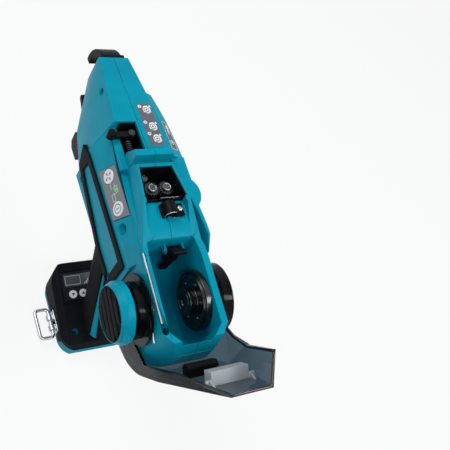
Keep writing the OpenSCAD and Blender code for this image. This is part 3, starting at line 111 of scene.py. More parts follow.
floor_half = 4.0
floor_corners = [(-floor_half, -floor_half, 0), (floor_half, -floor_half, 0),
                 (floor_half, floor_half, 0), (-floor_half, floor_half, 0)]
floor_mesh = bpy.data.meshes.new("floor")
floor_mesh.from_pydata(floor_corners, [], [(0, 1, 2, 3)])
floor = link(bpy.data.objects.new("floor", floor_mesh))

# Matt white paper: the glow lifts what the camera sees to white and leaves a share of the shadow.
glow_share = 0.84
paper = bpy.data.materials.new("white_paper_sweep")
paper.use_nodes = True
tree = paper.node_tree
tree.nodes.clear()
matt = add(tree, "ShaderNodeBsdfDiffuse", {"Color": linear("#E9EBEC")})
glow = add(tree, "ShaderNodeEmission", {"Color": linear("#FFFFFF"), "Strength": 1.0})
lifted = add(tree, "ShaderNodeMixShader", {0: glow_share, 1: matt.outputs[0], 2: glow.outputs[0]})
shown = add(tree, "ShaderNodeMixShader", {
    0: seen_as_backdrop(tree), 1: matt.outputs[0], 2: lifted.outputs[0]})
add(tree, "ShaderNodeOutputMaterial", {"Surface": shown.outputs[0]})
floor_mesh.materials.append(paper)

lit_place = Vector((0, 0.02, 0.2))
lamps = [("overhead", (-0.55, 0.75, 1.5), 0.9, 12.0),
         ("behind_lens", (-0.30, -1.00, 1.30), 0.8, 5.0),
         ("right_back", (0.66, -0.70, 1.40), 0.45, 7.0)]
for name, place, size, power in lamps:
    bulb = bpy.data.lights.new(name, "AREA")
    bulb.size = size
    bulb.energy = power
    lamp = link(bpy.data.objects.new(name, bulb))
    lamp.location = place
    lamp.rotation_euler = (lit_place - Vector(place)).to_track_quat("-Z", "Y").to_euler()


# Housing: two injection-moulded halves of dyed ABS that meet in the parting plane down the middle.
# The moulds leave a satin, finely eroded skin and softened outer edges; screws pull the halves together.

mm = 0.001


def finish(name, **shader):
    material = bpy.data.materials.new(name)
    material.use_nodes = True
    tree = material.node_tree
    tree.nodes.clear()
    surface = add(tree, "ShaderNodeBsdfPrincipled", shader)
    add(tree, "ShaderNodeOutputMaterial", {"Surface": surface.outputs[0]})
    place = add(tree, "ShaderNodeTexCoord").outputs["Object"]
    return material, tree, surface, place


# A skin whose tone drifts from deep to pale, with grains of the given width and depth in mm. Real grains of
# about 0.2 mm are too fine to show, so they are drawn 0.6 to 1.5 mm wide, on clear and glossy plastic wider.
def grained(name, deep, pale, rough, grain, depth, **shader):
    material, tree, surface, place = finish(name, **shader)
    drift = 35.714
    cloud = add(tree, "ShaderNodeTexNoise", {
        "Vector": place, "Scale": 1 / (drift * mm), "Detail": 4.0, "Roughness": 0.55})
    tint = add(tree, "ShaderNodeValToRGB", {"Fac": cloud.outputs["Fac"]})
    for stop, colour, position in zip(tint.color_ramp.elements, (deep, pale), (0.3, 0.72)):
        stop.color = linear(colour)
        stop.position = position
    tree.links.new(tint.outputs["Color"], surface.inputs["Base Color"])
    skin = add(tree, "ShaderNodeTexNoise", {"Vector": place, "Scale": 1 / (grain * mm), "Detail": 2.0})
    sheen = add(tree, "ShaderNodeMapRange", {
        "Value": skin.outputs["Fac"], "From Min": 0.25, "From Max": 0.75,
        "To Min": rough - 0.05, "To Max": rough + 0.06})
    tree.links.new(sheen.outputs[0], surface.inputs["Roughness"])
    bump = add(tree, "ShaderNodeBump", {
        "Height": skin.outputs["Fac"], "Strength": 0.35, "Distance": depth * mm})
    tree.links.new(bump.outputs[0], surface.inputs["Normal"])
    return material


def smooth(piece, turn=38):
    mesh = piece.data
    mesh.polygons.foreach_set("use_smooth", [True] * len(mesh.polygons))
    mesh.set_sharp_from_angle(angle=math.radians(turn))


def plain(piece):
    bpy.context.view_layer.update()
    mesh = bpy.data.meshes.new_from_object(piece.evaluated_get(bpy.context.evaluated_depsgraph_get()))
    piece.modifiers.clear()
    piece.data = mesh
    return piece


# A node's own shape with its triangles joined to faces and every edge that turns enough rounded by edge mm.
def moulded(node, edge, turn=28, segments=2, joined=True):
    weld = 0.002
    flat_turn = 0.6
    shade_turn = 60
    mesh = frame["nodes"][node].data.copy()
    mesh.materials.clear()
    for layer in ("custom_normal", "sharp_face", "sharp_edge"):
        if layer in mesh.attributes:
            mesh.attributes.remove(mesh.attributes[layer])
    shape = bmesh.new()
    shape.from_mesh(mesh)
    bmesh.ops.remove_doubles(shape, verts=shape.verts, dist=weld * mm)
    if joined:
        bmesh.ops.dissolve_limit(shape, angle_limit=math.radians(flat_turn), verts=shape.verts,
                                 edges=shape.edges)
    shape.to_mesh(mesh)
    shape.free()
    piece = link(bpy.data.objects.new(node + "_moulded", mesh))
    smooth(piece, shade_turn)
    rounding = piece.modifiers.new("rounded_edges", "BEVEL")
    rounding.width = edge * mm
    rounding.segments = segments
    rounding.limit_method = "ANGLE"
    rounding.angle_limit = math.radians(turn)
    rounding.use_clamp_overlap = False
    rounding.miter_outer = "MITER_ARC"
    leaning = piece.modifiers.new("flat_faces", "WEIGHTED_NORMAL")
    leaning.keep_sharp = True
    return plain(piece)


def fit(piece, body, slot, material, *nodes):
    piece.data.materials.clear()
    piece.data.materials.append(material)
    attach(piece, body)
    if nodes:
        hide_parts(*nodes)
    return piece


# Dyed ABS from an eroded mould: an even teal with a soft, broad and weak shine.
teal_abs = grained("satin_teal_abs", "#008AA3", "#0097B1", rough=0.36, grain=0.9, depth=0.04, IOR=1.5,
                   **{"Specular IOR Level": 0.08})
for node in ("left_housing", "right_housing"):
    fit(moulded(node, edge=0.6), "housing", "teal_plastic", teal_abs, node)


# Labels: grey polyester films with white print, stuck on the nose top beside the parting line and on the
# right shoulder. The first shows three steps as plain pictograms and is bent with the nose top; the second
# has a plain border, an arrow and a ring.

joints = {joint["name"]: joint for joint in frame["joints"]}
hub_axis = Vector(joints["hub_spin"]["pos_m"])


# Places are in mm from the hub's axis in the parting plane: to the right, to the nose and up.
def at(x, y, z):
    return hub_axis + Vector((x, y, z)) * mm


def disc(x, y, r, n=36):
    return [(x + r * math.cos(k * math.tau / n), y + r * math.sin(k * math.tau / n)) for k in range(n)]


def ring(x, y, r, width, n=36):
    outer, inner = disc(x, y, r, n), disc(x, y, r - width, n)
    return [[outer[k], outer[(k + 1) % n], inner[(k + 1) % n], inner[k]] for k in range(n)]


def stroke(x0, y0, x1, y1, width):
    run = Vector((x1 - x0, y1 - y0)).normalized() * width / 2
    return [(x0 + run.y, y0 - run.x), (x1 + run.y, y1 - run.x),
            (x1 - run.y, y1 + run.x), (x0 - run.y, y0 + run.x)]


def moved(outline, x, y):
    return [(x + u, y + v) for u, v in outline]


# Closed shells, each laid through rows of points that have the same number of points.
def lofted(name, shells):
    shape = bmesh.new()
    for points in shells:
        rows = [[shape.verts.new(point) for point in row] for row in points]
        for low, high in zip(rows, rows[1:]):
            for k in range(len(low)):
                n = (k + 1) % len(low)
                shape.faces.new((low[k], low[n], high[n], high[k]))
        shape.faces.new(rows[0][::-1])
        shape.faces.new(rows[-1])
    bmesh.ops.recalc_face_normals(shape, faces=shape.faces)
    mesh = bpy.data.meshes.new(name)
    shape.to_mesh(mesh)
    shape.free()
    return link(bpy.data.objects.new(name, mesh))


# Flat outlines on a surface that place gives, as thick as the layer's two heights above it.
def printed(name, outlines, place, layer, body, slot, material):
    shells = [[[place(u, v, lift) for u, v in outline] for lift in layer] for outline in outlines]
    return fit(lofted(name, shells), body, slot, material)


nose_tops = [(131, 48.36), (172, 47.0), (212, 44.98)]
shoulder_start = (24, 131, 46)
shoulder_falls = (0.54975, 0.05142)


def nose_top(u, v, lift):
    (y0, z0), (y1, z1) = nose_tops[:2] if v < nose_tops[1][0] else nose_tops[1:]
    return at(u, v, z0 + (z1 - z0) * (v - y0) / (y1 - y0) + lift)


def nose_shoulder(u, v, lift):
    x0, y0, z0 = shoulder_start
    fall_x, fall_y = shoulder_falls
    return at(u, v, z0 - fall_x * (u - x0) - fall_y * (v - y0) + lift)


# Label polyester is a flat mid grey with a faint sheen, and pad print on it a matt, slightly grey white.
grey_film = grained("grey_label_film", "#4E545C", "#5A6068", rough=0.48, grain=0.8, depth=0.01, IOR=1.5)
white_ink = grained("white_pad_print", "#DCE1E4", "#E8ECEE", rough=0.45, grain=0.6, depth=0.01, IOR=1.5)
film_layer = (-0.05, 0.12)
ink_layer = (0.08, 0.2)
mark_layer = (0.15, 0.26)

films = [[(4.5, 142), (20, 142), (20, 172), (4.5, 172)], [(4.5, 172), (20, 172), (19, 193), (4.5, 193)]]
printed("instruction_film", films, nose_top, film_layer, "housing", "grey_plastic", grey_film)

count_spots = [(7.4, 189), (7.4, 169.6), (7.4, 156)]
count_r = 1.9
tally_gap = 0.7
tally_half = 1.1
tally_width = 0.4
picture_spots = [(13.6, 185), (13.6, 164.5), (13.6, 150)]
picture_body = [(-3.4, -3.2), (0.6, -5.0), (4.2, -3.4), (4.4, 1.2), (1.6, 5.0), (-2.2, 4.2), (-3.8, 0.8)]
picture_tip = [(3.0, 3.4), (5.6, 2.6), (4.6, 5.8)]
picture_bar = [(-2.6, -3.6), (3.4, -3.0)]
picture_ring_r = 2.9
picture_ring_width = 0.6
picture_dot_r = 1.0
picture_bar_width = 0.5
steps = []
marks = []
for k, (x, y) in enumerate(count_spots):
    steps.append(disc(x, y, count_r, 20))
    for n in range(k + 1):
        tally_x = x + tally_gap * (n - k / 2)
        marks.append(stroke(tally_x, y - tally_half, tally_x, y + tally_half, tally_width))
for x, y in picture_spots:
    steps += [moved(picture_body, x, y), moved(picture_tip, x, y)]
    marks += ring(x, y, picture_ring_r, picture_ring_width, 24)
    start, end = moved(picture_bar, x, y)
    marks += [stroke(*start, *end, picture_bar_width), disc(x, y, picture_dot_r, 16)]
printed("instruction_print", steps, nose_top, ink_layer, "housing", "light_plastic", white_ink)
printed("instruction_marks", marks, nose_top, mark_layer, "housing", "grey_plastic", grey_film)

plate = [(28.5, 140), (38, 140), (37.5, 158), (34.5, 176), (28, 176)]
printed("shoulder_film", [plate], nose_shoulder, film_layer, "housing", "grey_plastic", grey_film)
border = [(29.3, 141.5), (37, 141.5), (36.6, 158), (33.8, 174.5), (28.9, 174.5)]
border_width = 0.5
arrow = [(32.4, 160), (34, 160), (34, 167), (35.2, 167), (33.2, 172), (31.2, 167), (32.4, 167)]
target = (33, 150)
shoulder_signs = [arrow, *ring(*target, 2.6, 0.8, 24), disc(*target, 1.0, 16)]
shoulder_signs += [stroke(*a, *b, border_width) for a, b in zip(border, border[1:] + border[:1])]
printed("shoulder_border", shoulder_signs, nose_shoulder, ink_layer, "housing", "light_plastic", white_ink)


# Overmoulded grip surfaces: a soft black elastomer shot over the ABS on the sides, the grip and the foot.
# It is matt, with a fine leathery grain and rolled edges where it stands proud of the hard shell.

# Elastomer: near black at every angle, with a coarse grain and no clear highlight.
rubber = grained("black_elastomer", "#0E1013", "#16191D", rough=0.55, grain=1.2, depth=0.08, IOR=1.3,
                 **{"Specular IOR Level": 0.1})
for node, edge in (("left_side_rubber", 0.8), ("right_side_rubber", 0.8), ("grip_rubber", 0.6),
                   ("foot_rubber", 0.6)):
    fit(moulded(node, edge, segments=3), "housing", "black_rubber", rubber, node)


# Housing screws: thread-forming steel screws with a socket in a rounded head, sunk in the moulded holes.
# Four run across, one down the foot and a smaller one down the rim; all are laid out from turned screws.

# A round shape along Z from a profile of radii and heights in mm.
def turned(name, profile, sides):
    rows = [[Vector((x, y, h)) * mm for x, y in disc(0, 0, r, sides)] for r, h in profile]
    piece = lofted(name, [rows])
    smooth(piece)
    return piece


def grown(name, tree, mesh, values):
    piece = link(bpy.data.objects.new(name, mesh))
    layout = piece.modifiers.new("layout", "NODES")
    layout.node_group = tree
    for item in tree.interface.items_tree:
        if item.in_out == "INPUT" and item.name in values:
            layout[item.identifier] = values[item.name]
    return plain(piece)


def node_group(name, **inputs):
    tree = bpy.data.node_groups.new(name, "GeometryNodeTree")
    for key, kind in inputs.items():
        tree.interface.new_socket(key, in_out="INPUT", socket_type="NodeSocket" + kind)
    tree.interface.new_socket("Shape", in_out="OUTPUT", socket_type="NodeSocketGeometry")
    return tree, add(tree, "NodeGroupInput").outputs


def closed_group(tree, shape, material):
    whole = add(tree, "GeometryNodeRealizeInstances", {"Geometry": shape})
    dressed = add(tree, "GeometryNodeSetMaterial", {"Geometry": whole.outputs[0], "Material": material})
    add(tree, "NodeGroupOutput", {"Shape": dressed.outputs[0]})


laid_out, given = node_group("laid_out", Spots="Geometry", Item="Object", Finish="Material")
turn = add(laid_out, "GeometryNodeInputNamedAttribute", {"Name": "turn"}, data_type="FLOAT_VECTOR")
template = add(laid_out, "GeometryNodeObjectInfo", {"Object": given["Item"]})
copies = add(laid_out, "GeometryNodeInstanceOnPoints", {
    "Points": given["Spots"], "Instance": template.outputs["Geometry"],
    "Rotation": turn.outputs["Attribute"]})
closed_group(laid_out, copies.outputs["Instances"], given["Finish"])


# Copies of an item at the spots, each a place and a turn. The item itself is used up.
def repeated(name, item, spots, material):
    mesh = bpy.data.meshes.new(name)
    mesh.from_pydata([place for place, _ in spots], [], [])
    turns = mesh.attributes.new("turn", "FLOAT_VECTOR", "POINT")
    turns.data.foreach_set("vector", [angle for _, turn in spots for angle in turn])
    piece = grown(name, laid_out, mesh, {"Item": item, "Finish": material})
    smooth(piece)
    bpy.data.objects.remove(item)
    return piece


def rounded_head(r, crown_r):
    dome = [(r - 0.2, 0), (r, 0.3), (r - 0.1, 1.5), (crown_r, 2.1)]
    socket = [(1.5, 2.35), (1.4, 2.2), (1.3, 1.2)]
    return dome + socket


# Dark zinc plate: a smooth grey metal with slightly blurred reflections.
dark_zinc = grained("dark_zinc_steel", "#4A4E52", "#666B70", rough=0.26, grain=1.2, depth=0.02, Metallic=1.0)
shank_r = 1.6
thread_cut = 0.25
thread_rise = 0.4
shank = [(shank_r / 2, -8), (shank_r, -7.2)]
shank += [(shank_r - thread_cut * (k % 2), -7 + thread_rise * k) for k in range(16)]
shank += [(shank_r, -0.3), (shank_r, 0)]
screw = turned("screw", shank + rounded_head(3.0, 2.4), 24)
rim_item = turned("rim_item", shank + rounded_head(2.6, 2.1), 24)
across = (0, -math.pi / 2, 0)
upright = (0, 0, 0)
side_spots = [at(-27, 73.5, 15), at(-17, 214, 36), at(-30, 160, -36), at(-30, 52, -40)]
foot_spot = at(-28, 54, -196)
rim_spot = at(-29.5, -33.5, 22)
screw_spots = [(spot, across) for spot in side_spots] + [(foot_spot, upright)]
fit(repeated("housing_screw_set", screw, screw_spots, dark_zinc),
    "housing", "steel", dark_zinc, "housing_screws")
fit(repeated("rim_screw", rim_item, [(rim_spot, upright)], dark_zinc), "housing", "steel", dark_zinc)


# Button panel: a printed grey polyester film over two snap discs on the left flank, with a status lamp
# between. Print is a ring for power, a cross of arrows for the mode and hairlines towards the green lamp.

panel_place = at(-32.2546, 110.7, 18.558)
panel_press = Vector(joints["power_press"]["axis"])
panel_lean = math.atan2(-panel_press.x, -panel_press.z)
panel_yaw = math.asin(panel_press.y)
panel_turn = Matrix.Rotation(panel_lean, 4, "Y") @ Matrix.Rotation(panel_yaw, 4, "X")
flank = Matrix.Translation(panel_place) @ panel_turn


def on_flank(u, v, h):
    return flank @ (Vector((u, v, h)) * mm)


# Panel film and key film are flat with a weak sheen; the print on the keys is matt.
panel_film = grained("grey_panel_film", "#70767E", "#7B8189", rough=0.46, grain=0.8, depth=0.01, IOR=1.5)
white_film = grained("white_key_film", "#DDE1E3", "#E9ECED", rough=0.40, grain=0.8, depth=0.01, IOR=1.5)
grey_ink = grained("dark_grey_print", "#51565D", "#5D626A", rough=0.46, grain=0.6, depth=0.01, IOR=1.5)

# Lit lens: small prisms that glow a little and are palest in their middles.
green_glow, tree, surface, place = finish("green_indicator_lens", Roughness=0.25, IOR=1.5)
prism = 1.1111
facets = add(tree, "ShaderNodeTexVoronoi", {"Vector": place, "Scale": 1 / (prism * mm)})
lit = add(tree, "ShaderNodeValToRGB", {"Fac": facets.outputs["Distance"]})
lit.color_ramp.elements[0].color = linear("#8FDB52")
lit.color_ramp.elements[1].color = linear("#3FA23C")
tree.links.new(lit.outputs["Color"], surface.inputs["Base Color"])
tree.links.new(lit.outputs["Color"], surface.inputs["Emission Color"])
surface.inputs["Emission Strength"].default_value = 0.25

fit(moulded("button_panel", edge=0.2), "housing", "grey_plastic", panel_film, "button_panel")
fit(moulded("power_button", edge=0.4), "power_key", "light_plastic", white_film, "power_button")
fit(moulded("mode_button", edge=0.4), "mode_key", "light_plastic", white_film, "mode_button")
fit(moulded("indicator_lamp", edge=0.3), "housing", "green_lamp", green_glow, "indicator_lamp")

panel_length = 54
mode_v = 0.33 * panel_length
power_v = -0.32 * panel_length
key_layer = (1.55, 1.68)
panel_layer = (0.7, 0.86)
power_signs = ring(0, power_v, 4.7, 0.7) + [stroke(-1.9, power_v, 1.9, power_v, 0.9)]
printed("power_print", power_signs, on_flank, key_layer, "power_key", "grey_plastic", grey_ink)
arrow_parts = [stroke(1.2, 0, 3.6, 0, 0.8), [(3.2, 1.4), (3.2, -1.4), (5.2, 0)]]
arrow_turn = 0.4
arrows = []
for k in range(4):
    c = math.cos(k * math.pi / 2 + arrow_turn)
    s = math.sin(k * math.pi / 2 + arrow_turn)
    arrows += [[(u * c - v * s, mode_v + u * s + v * c) for u, v in part] for part in arrow_parts]
printed("mode_print", arrows, on_flank, key_layer, "mode_key", "grey_plastic", grey_ink)
hairline = 0.45
lines = [(-3.4, -8.5, -3.4, -1.2), (-3.4, -1.2, 0.4, -1.2), (0.4, -1.2, 0.4, -8.5), (0.4, -8.5, -3.4, -8.5),
         (-1.5, 4, -1.5, 10), (3.7, 4.6, 3.7, 7.6), (6.6, -2.2, 6.6, 4.2), (0.9, 4.2, 6.6, 4.2),
         (0.9, -2.2, 6.6, -2.2)]
printed("panel_print", [stroke(*line, hairline) for line in lines], on_flank, panel_layer,
        "housing", "light_plastic", white_ink)


# Display on the foot: a dark bezel that snaps into the sloping top, a clear window over a grey liquid crystal
# and two pale rubber keys. The raised frame is the foot's rubber; bars and arrows are plain symbols.

foot_press = Vector(joints["down_press"]["axis"])
foot_tilt = math.atan2(foot_press.y, -foot_press.z)
foot_heel_y = 42
foot_heel_z = -193
display_x = -8.5
display_y = 104
display_z = foot_heel_z + (display_y - foot_heel_y) * math.tan(foot_tilt)
foot_top = Matrix.Translation(at(display_x, display_y, display_z)) @ Matrix.Rotation(foot_tilt, 4, "X")


def on_foot(u, v, h):
    return foot_top @ (Vector((u, v, h)) * mm)


# The bezel is a dull black, the crystal a smooth grey that mirrors a little, its bars and the keys pale grey.
bezel_abs = grained("black_bezel_abs", "#17191B", "#202325", rough=0.42, grain=0.8, depth=0.03, IOR=1.53,
                    **{"Specular IOR Level": 0.12})
crystal = grained("grey_liquid_crystal", "#4A5154", "#596063", rough=0.18, grain=4, depth=0.01, IOR=1.5)
bar_ink = grained("pale_crystal_bars", "#B9C0C2", "#C8CED0", rough=0.3, grain=1, depth=0.01, IOR=1.5)
pale_key = grained("pale_key_silicone", "#D5DADD", "#E3E7E9", rough=0.5, grain=0.8, depth=0.02, IOR=1.43)
fit(moulded("display_panel", edge=0.3, joined=False), "housing", "black_plastic", bezel_abs, "display_panel")
fit(moulded("display_glass", edge=0.2), "housing", "display", crystal, "display_glass")

bar_start = 1
bar_step = 2.2
bar_width = 1.5
bar_foot = 1.2
bar_left_top = 2.2
bar_right_top = 3
bar_rise = 1.9
bars = []
for k in range(4):
    x = bar_start + bar_step * k
    rise = bar_rise * k
    bars.append([(x, bar_foot), (x + bar_width, bar_foot), (x + bar_width, bar_right_top + rise),
                 (x, bar_left_top + rise)])
left, right = -20.5, -3
low, high = 1.5, 11.5
line_width = 0.5
for line in ((left, high, right, high), (left, low, right, low), (left, low, left, high),
             (right, low, right, high)):
    bars.append(stroke(*line, line_width))
bar_layer = (1.5, 1.58)
printed("crystal_bars", bars, on_foot, bar_layer, "housing", "light_plastic", bar_ink)

key_v = -9.5
sign_half = 1.9
sign_back = 1.2
sign_tip = 1.9
sign_layer = (2.6, 2.72)
for node, body, u, way in (("down_button", "down_key", -14, -1), ("up_button", "up_key", -2, 1)):
    fit(moulded(node, edge=0.6, segments=3), body, "light_plastic", pale_key, node)
    sign = [(u - sign_half, key_v - way * sign_back), (u + sign_half, key_v - way * sign_back),
            (u, key_v + way * sign_tip)]
    printed(body + "_print", [sign], on_foot, sign_layer, body, "grey_plastic", bezel_abs)


# Feed: two hardened hobbed gears in a black liner, one driven, one on a sprung swing arm.
# Snap rings hold the gears, a torsion spring lies round the arm's pin, and a bell-mouthed guide moulded in
# black nylon is screwed on behind them.

# Glass-filled nylon is a deep black with soft highlights, oxide steel a dark and spring steel a bright metal.
black_nylon = grained("black_glass_filled_nylon", "#0B0C0D", "#141618", rough=0.30, grain=0.8, depth=0.05,
                      IOR=1.3, **{"Specular IOR Level": 0.12})
oxide_steel = grained("black_oxide_steel", "#33373A", "#4A4F53", rough=0.26, grain=1, depth=0.03,
                      Metallic=1.0)
bright_steel = grained("bright_spring_steel", "#9EA3A7", "#C2C7CA", rough=0.22, grain=1.5, depth=0.01,
                       Metallic=1.0)
for node, body, edge, slot, material in (
        ("feed_liner", "housing", 0.3, "black_plastic", black_nylon),
        ("wire_guide", "housing", 0.5, "black_plastic", black_nylon),
        ("drive_gear", "drive", 0.12, "dark_steel", oxide_steel),
        ("drive_axle", "drive", 0.3, "steel", dark_zinc),
        ("idler_gear", "idler", 0.12, "dark_steel", oxide_steel),
        ("idler_axle", "swing_arm", 0.3, "steel", dark_zinc),
        ("idler_arm", "swing_arm", 0.4, "dark_steel", oxide_steel),
        ("arm_pin", "housing", 0.3, "steel", dark_zinc)):
    fit(moulded(node, edge), body, slot, material, node)


def middle(node):
    low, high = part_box(node)
    return (low + high) / 2


guide_shank = 3
guide_item = turned("guide_item", [(shank_r, -guide_shank), (shank_r, 0)] + rounded_head(3.0, 2.4), 24)
guide_spot = middle("guide_screw")
guide_spot.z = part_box("guide_screw")[0].z + guide_shank * mm
fit(repeated("guide_screw_set", guide_item, [(guide_spot, upright)], bright_steel),
    "housing", "steel", bright_steel, "guide_screw")

turn_points = 36
wire_sides = 12
coiled, given = node_group("coiled", Turns="Float", Radius="Float", Height="Float", Wire="Float",
                           Move="Vector", Turn="Vector", Finish="Material")
spiral = add(coiled, "GeometryNodeCurveSpiral", {
    "Resolution": turn_points, "Rotations": given["Turns"], "Start Radius": given["Radius"],
    "End Radius": given["Radius"], "Height": given["Height"]})
round_wire = add(coiled, "GeometryNodeCurvePrimitiveCircle", {
    "Resolution": wire_sides, "Radius": given["Wire"]})
drawn = add(coiled, "GeometryNodeCurveToMesh", {
    "Curve": spiral.outputs[0], "Profile Curve": round_wire.outputs[0], "Fill Caps": True})
stood = add(coiled, "GeometryNodeTransform", {
    "Geometry": drawn.outputs[0], "Translation": given["Move"], "Rotation": given["Turn"]})
closed_group(coiled, stood.outputs[0], given["Finish"])


def coil(name, material, turns, radius, height, wire, move, turn):
    piece = grown(name, coiled, bpy.data.meshes.new(name), {
        "Turns": turns, "Radius": radius * mm, "Height": height * mm, "Wire": wire * mm, "Move": move,
        "Turn": turn, "Finish": material})
    smooth(piece)
    return piece


# The place on a hinge's upright axis that lies z mm over the hub's axis.
def on_hinge(name, z):
    x, y, _ = joints[name]["pos_m"]
    return Vector((x, y, at(0, 0, z).z))


ring_z = 43.1
for name, body, hinge, gap_turn in (("drive_snap_ring", "drive", "drive_spin", 2.6),
                                    ("idler_snap_ring", "swing_arm", "idler_spin", 0.4)):
    snap_ring = coil(name, bright_steel, turns=0.82, radius=3.5, height=0, wire=0.42,
                     move=on_hinge(hinge, ring_z), turn=(0, 0, gap_turn))
    fit(snap_ring, body, "steel", bright_steel)
# A pale steel ring laid round the guide's mouth is a painted highlight on the edge of its black nylon bell.
mouth_highlight_ring = coil("guide_mouth_bush", bright_steel, turns=0.71, radius=6.3, height=0, wire=0.5,
                  move=at(2, 66.9, 46.5), turn=(math.pi / 2, 0.66, 0))
fit(mouth_highlight_ring, "housing", "steel", bright_steel)
seat_steps = [(1.5, 38.9), (4.0, 38.9), (4.0, 40.1), (3.3, 40.3), (3.3, 41.2), (3.9, 41.4), (3.9, 42.3),
              (2.6, 42.6), (2.6, 43.2), (1.6, 43.5), (1.3, 43.1)]
seat = turned("seat_item", seat_steps, 36)
fit(repeated("arm_spring_seat", seat, [(on_hinge("arm_hinge", 0), upright)], dark_zinc),
    "housing", "steel", dark_zinc)
torsion_spring = coil("arm_torsion_spring", bright_steel, turns=3.2, radius=3.1, height=4.2, wire=0.45,
                      move=on_hinge("arm_hinge", 34.4), turn=(0, 0, 0.8))
fit(torsion_spring, "housing", "steel", bright_steel)


# Release lever: a moulded black lever on a steel pin in a deep black tray in the nose top.
# A coil spring behind it pushes it back; pressing it swings the idler gear out of mesh.

for node, body, edge, slot, material in (
        ("lever_tray", "housing", 0.3, "black_plastic", black_nylon),
        ("release_lever", "lever", 0.8, "black_plastic", black_nylon),
        ("lever_pin", "housing", 0.3, "steel", oxide_steel)):
    fit(moulded(node, edge), body, slot, material, node)
lever_spring = coil("lever_coil_spring", oxide_steel, turns=6, radius=3.2, height=13.5, wire=0.55,
                    move=at(-13, 140.2, 38.5), turn=(-math.pi / 2, 0, 0))
fit(lever_spring, "housing", "dark_steel", oxide_steel, "lever_spring")


# Reel hub: a glass-filled nylon flange turning in the right chamber wall, with a raised seat in its middle.
# Six steel rivets hold its wear ring; a black cap closes the bearing on the outside.

# Nylon that use has polished: black with sharp highlights.
worn_nylon = grained("polished_black_nylon", "#0A0B0C", "#121416", rough=0.16, grain=1.5, depth=0.03,
                     IOR=1.53)
fit(moulded("reel_hub", edge=0.7, segments=3), "hub", "black_plastic", worn_nylon, "reel_hub")
fit(moulded("hub_cap", edge=0.8), "hub", "black_plastic", worn_nylon, "hub_cap")
rivet = turned("rivet", [(1.6, -1.2), (1.6, 0), (1.5, 0.35), (1.1, 0.62), (0.5, 0.75)], 20)
rivet_x = 19.5
rivet_circle = 18
rivet_spots = [(at(rivet_x, y, z), across) for y, z in disc(0, 0, rivet_circle, 6)]
fit(repeated("hub_rivets", rivet, rivet_spots, bright_steel), "hub", "steel", bright_steel)
for name, x, r in (("hub_outer_bead", 19.3, 27.2), ("hub_inner_bead", 11.4, 9.5)):
    bead = coil(name, worn_nylon, turns=1, radius=r, height=0, wire=0.5, move=at(x, 0, 0),
                turn=(0, math.pi / 2, 0))
    fit(bead, "hub", "black_plastic", worn_nylon)


# Reel stop knob: a teal ABS cap with a ribbed rubber pad, fixed on a nylon spindle that slides in the left
# wall. Pulled out, as here, it leaves the chamber free; the cap is chamfered round the pad, and a raised
# pointer is moulded on its rim.

fit(moulded("knob_cap", edge=0.5, turn=20, segments=3), "knob", "teal_plastic", teal_abs, "knob_cap")
fit(moulded("knob_pad", edge=0.6), "knob", "black_rubber", rubber, "knob_pad")
fit(moulded("knob_spindle", edge=0.5), "knob", "black_plastic", black_nylon, "knob_spindle")

first_turn = 136
last_turn = 184
widening = 30
narrowing = 18
cap_low, cap_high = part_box("knob_cap")
rim_r = (cap_high.z - cap_low.z) / 2 / mm
pointer_in = 2
pointer_x = cap_low.x / mm + pointer_in
pointer_reach = 9.2
least_reach = 0.3
chamfer_x = -56.5
chamfer_length = 6
chamfer_depth = 3.2
sunk = -0.3
proud = 0.9
rows = []
for angle in range(first_turn, last_turn + 1, 2):
    share = min((angle - first_turn) / widening, (last_turn - angle) / narrowing)
    front_x = pointer_x + max(least_reach, pointer_reach * share)
    row = []
    for x, lift in ((pointer_x, sunk), (pointer_x, proud), (front_x, proud), (front_x, sunk)):
        r = rim_r - chamfer_depth * max(0, (chamfer_x - x) / chamfer_length) + lift
        row.append(at(x, r * math.cos(math.radians(angle)), r * math.sin(math.radians(angle))))
    rows.append(row)
pointer = lofted("knob_pointer", [rows])
smooth(pointer)
fit(pointer, "knob", "teal_plastic", teal_abs)


# Reel cover: a smoke polycarbonate lid with two pivot rings, moulded in one piece and swung open.
# The bracket under the lid is frosted polycarbonate and the block a black moulding, both fixed to the lid.

# Smoke dye in the depth of glossy plastic: light that passes the wall once is grey, and along it black.
smoke, tree, surface, place = finish("smoke_polycarbonate", **{
    "Base Color": linear("#FFFFFF"), "IOR": 1.22, "Transmission Weight": 1.0, "Specular IOR Level": 0.3})
haze_width = 16.667
haze = add(tree, "ShaderNodeTexNoise", {"Vector": place, "Scale": 1 / (haze_width * mm), "Detail": 3.0})
polish = add(tree, "ShaderNodeMapRange", {"Value": haze.outputs["Fac"], "To Min": 0.02, "To Max": 0.09})
tree.links.new(polish.outputs[0], surface.inputs["Roughness"])
dye = add(tree, "ShaderNodeVolumeAbsorption", {"Color": (0.0, 0.16, 0.25, 1.0), "Density": 780.0})
tree.links.new(dye.outputs[0], tree.nodes["Material Output"].inputs["Volume"])

# Frosted plastic is pale and milky, and about half of the light passes.
frosted = grained("frosted_polycarbonate", "#C4CCD1", "#D6DCE0", rough=0.42, grain=3, depth=0.03, IOR=1.58,
                  **{"Transmission Weight": 0.55})
fit(moulded("reel_cover", edge=0.4), "cover", "smoke", smoke, "reel_cover")
fit(moulded("cover_bracket", edge=0.3), "cover", "frosted", frosted, "cover_bracket")
fit(moulded("cover_block", edge=0.8), "cover", "black_plastic", black_nylon, "cover_block")


# Cover edge: the lid's free edge, moulded thicker in the same smoke polycarbonate as a round bead.
# The bead follows the low left lip, the open front end and the right skirt back to the pivot ring.

# Light that runs along the wall dies in it, so the edge is a glossy black.
dark_edge = grained("smoke_polycarbonate_edge", "#07090A", "#0E1113", rough=0.14, grain=2, depth=0.01,
                    IOR=1.58)
open_turn = math.radians(-joints["cover_hinge"]["range_deg"][0])


# From a place on the closed cover to the same place on the open one.
def swung(x, y, z):
    return at(*(Matrix.Rotation(open_turn, 3, "X") @ Vector((x, y, z))))


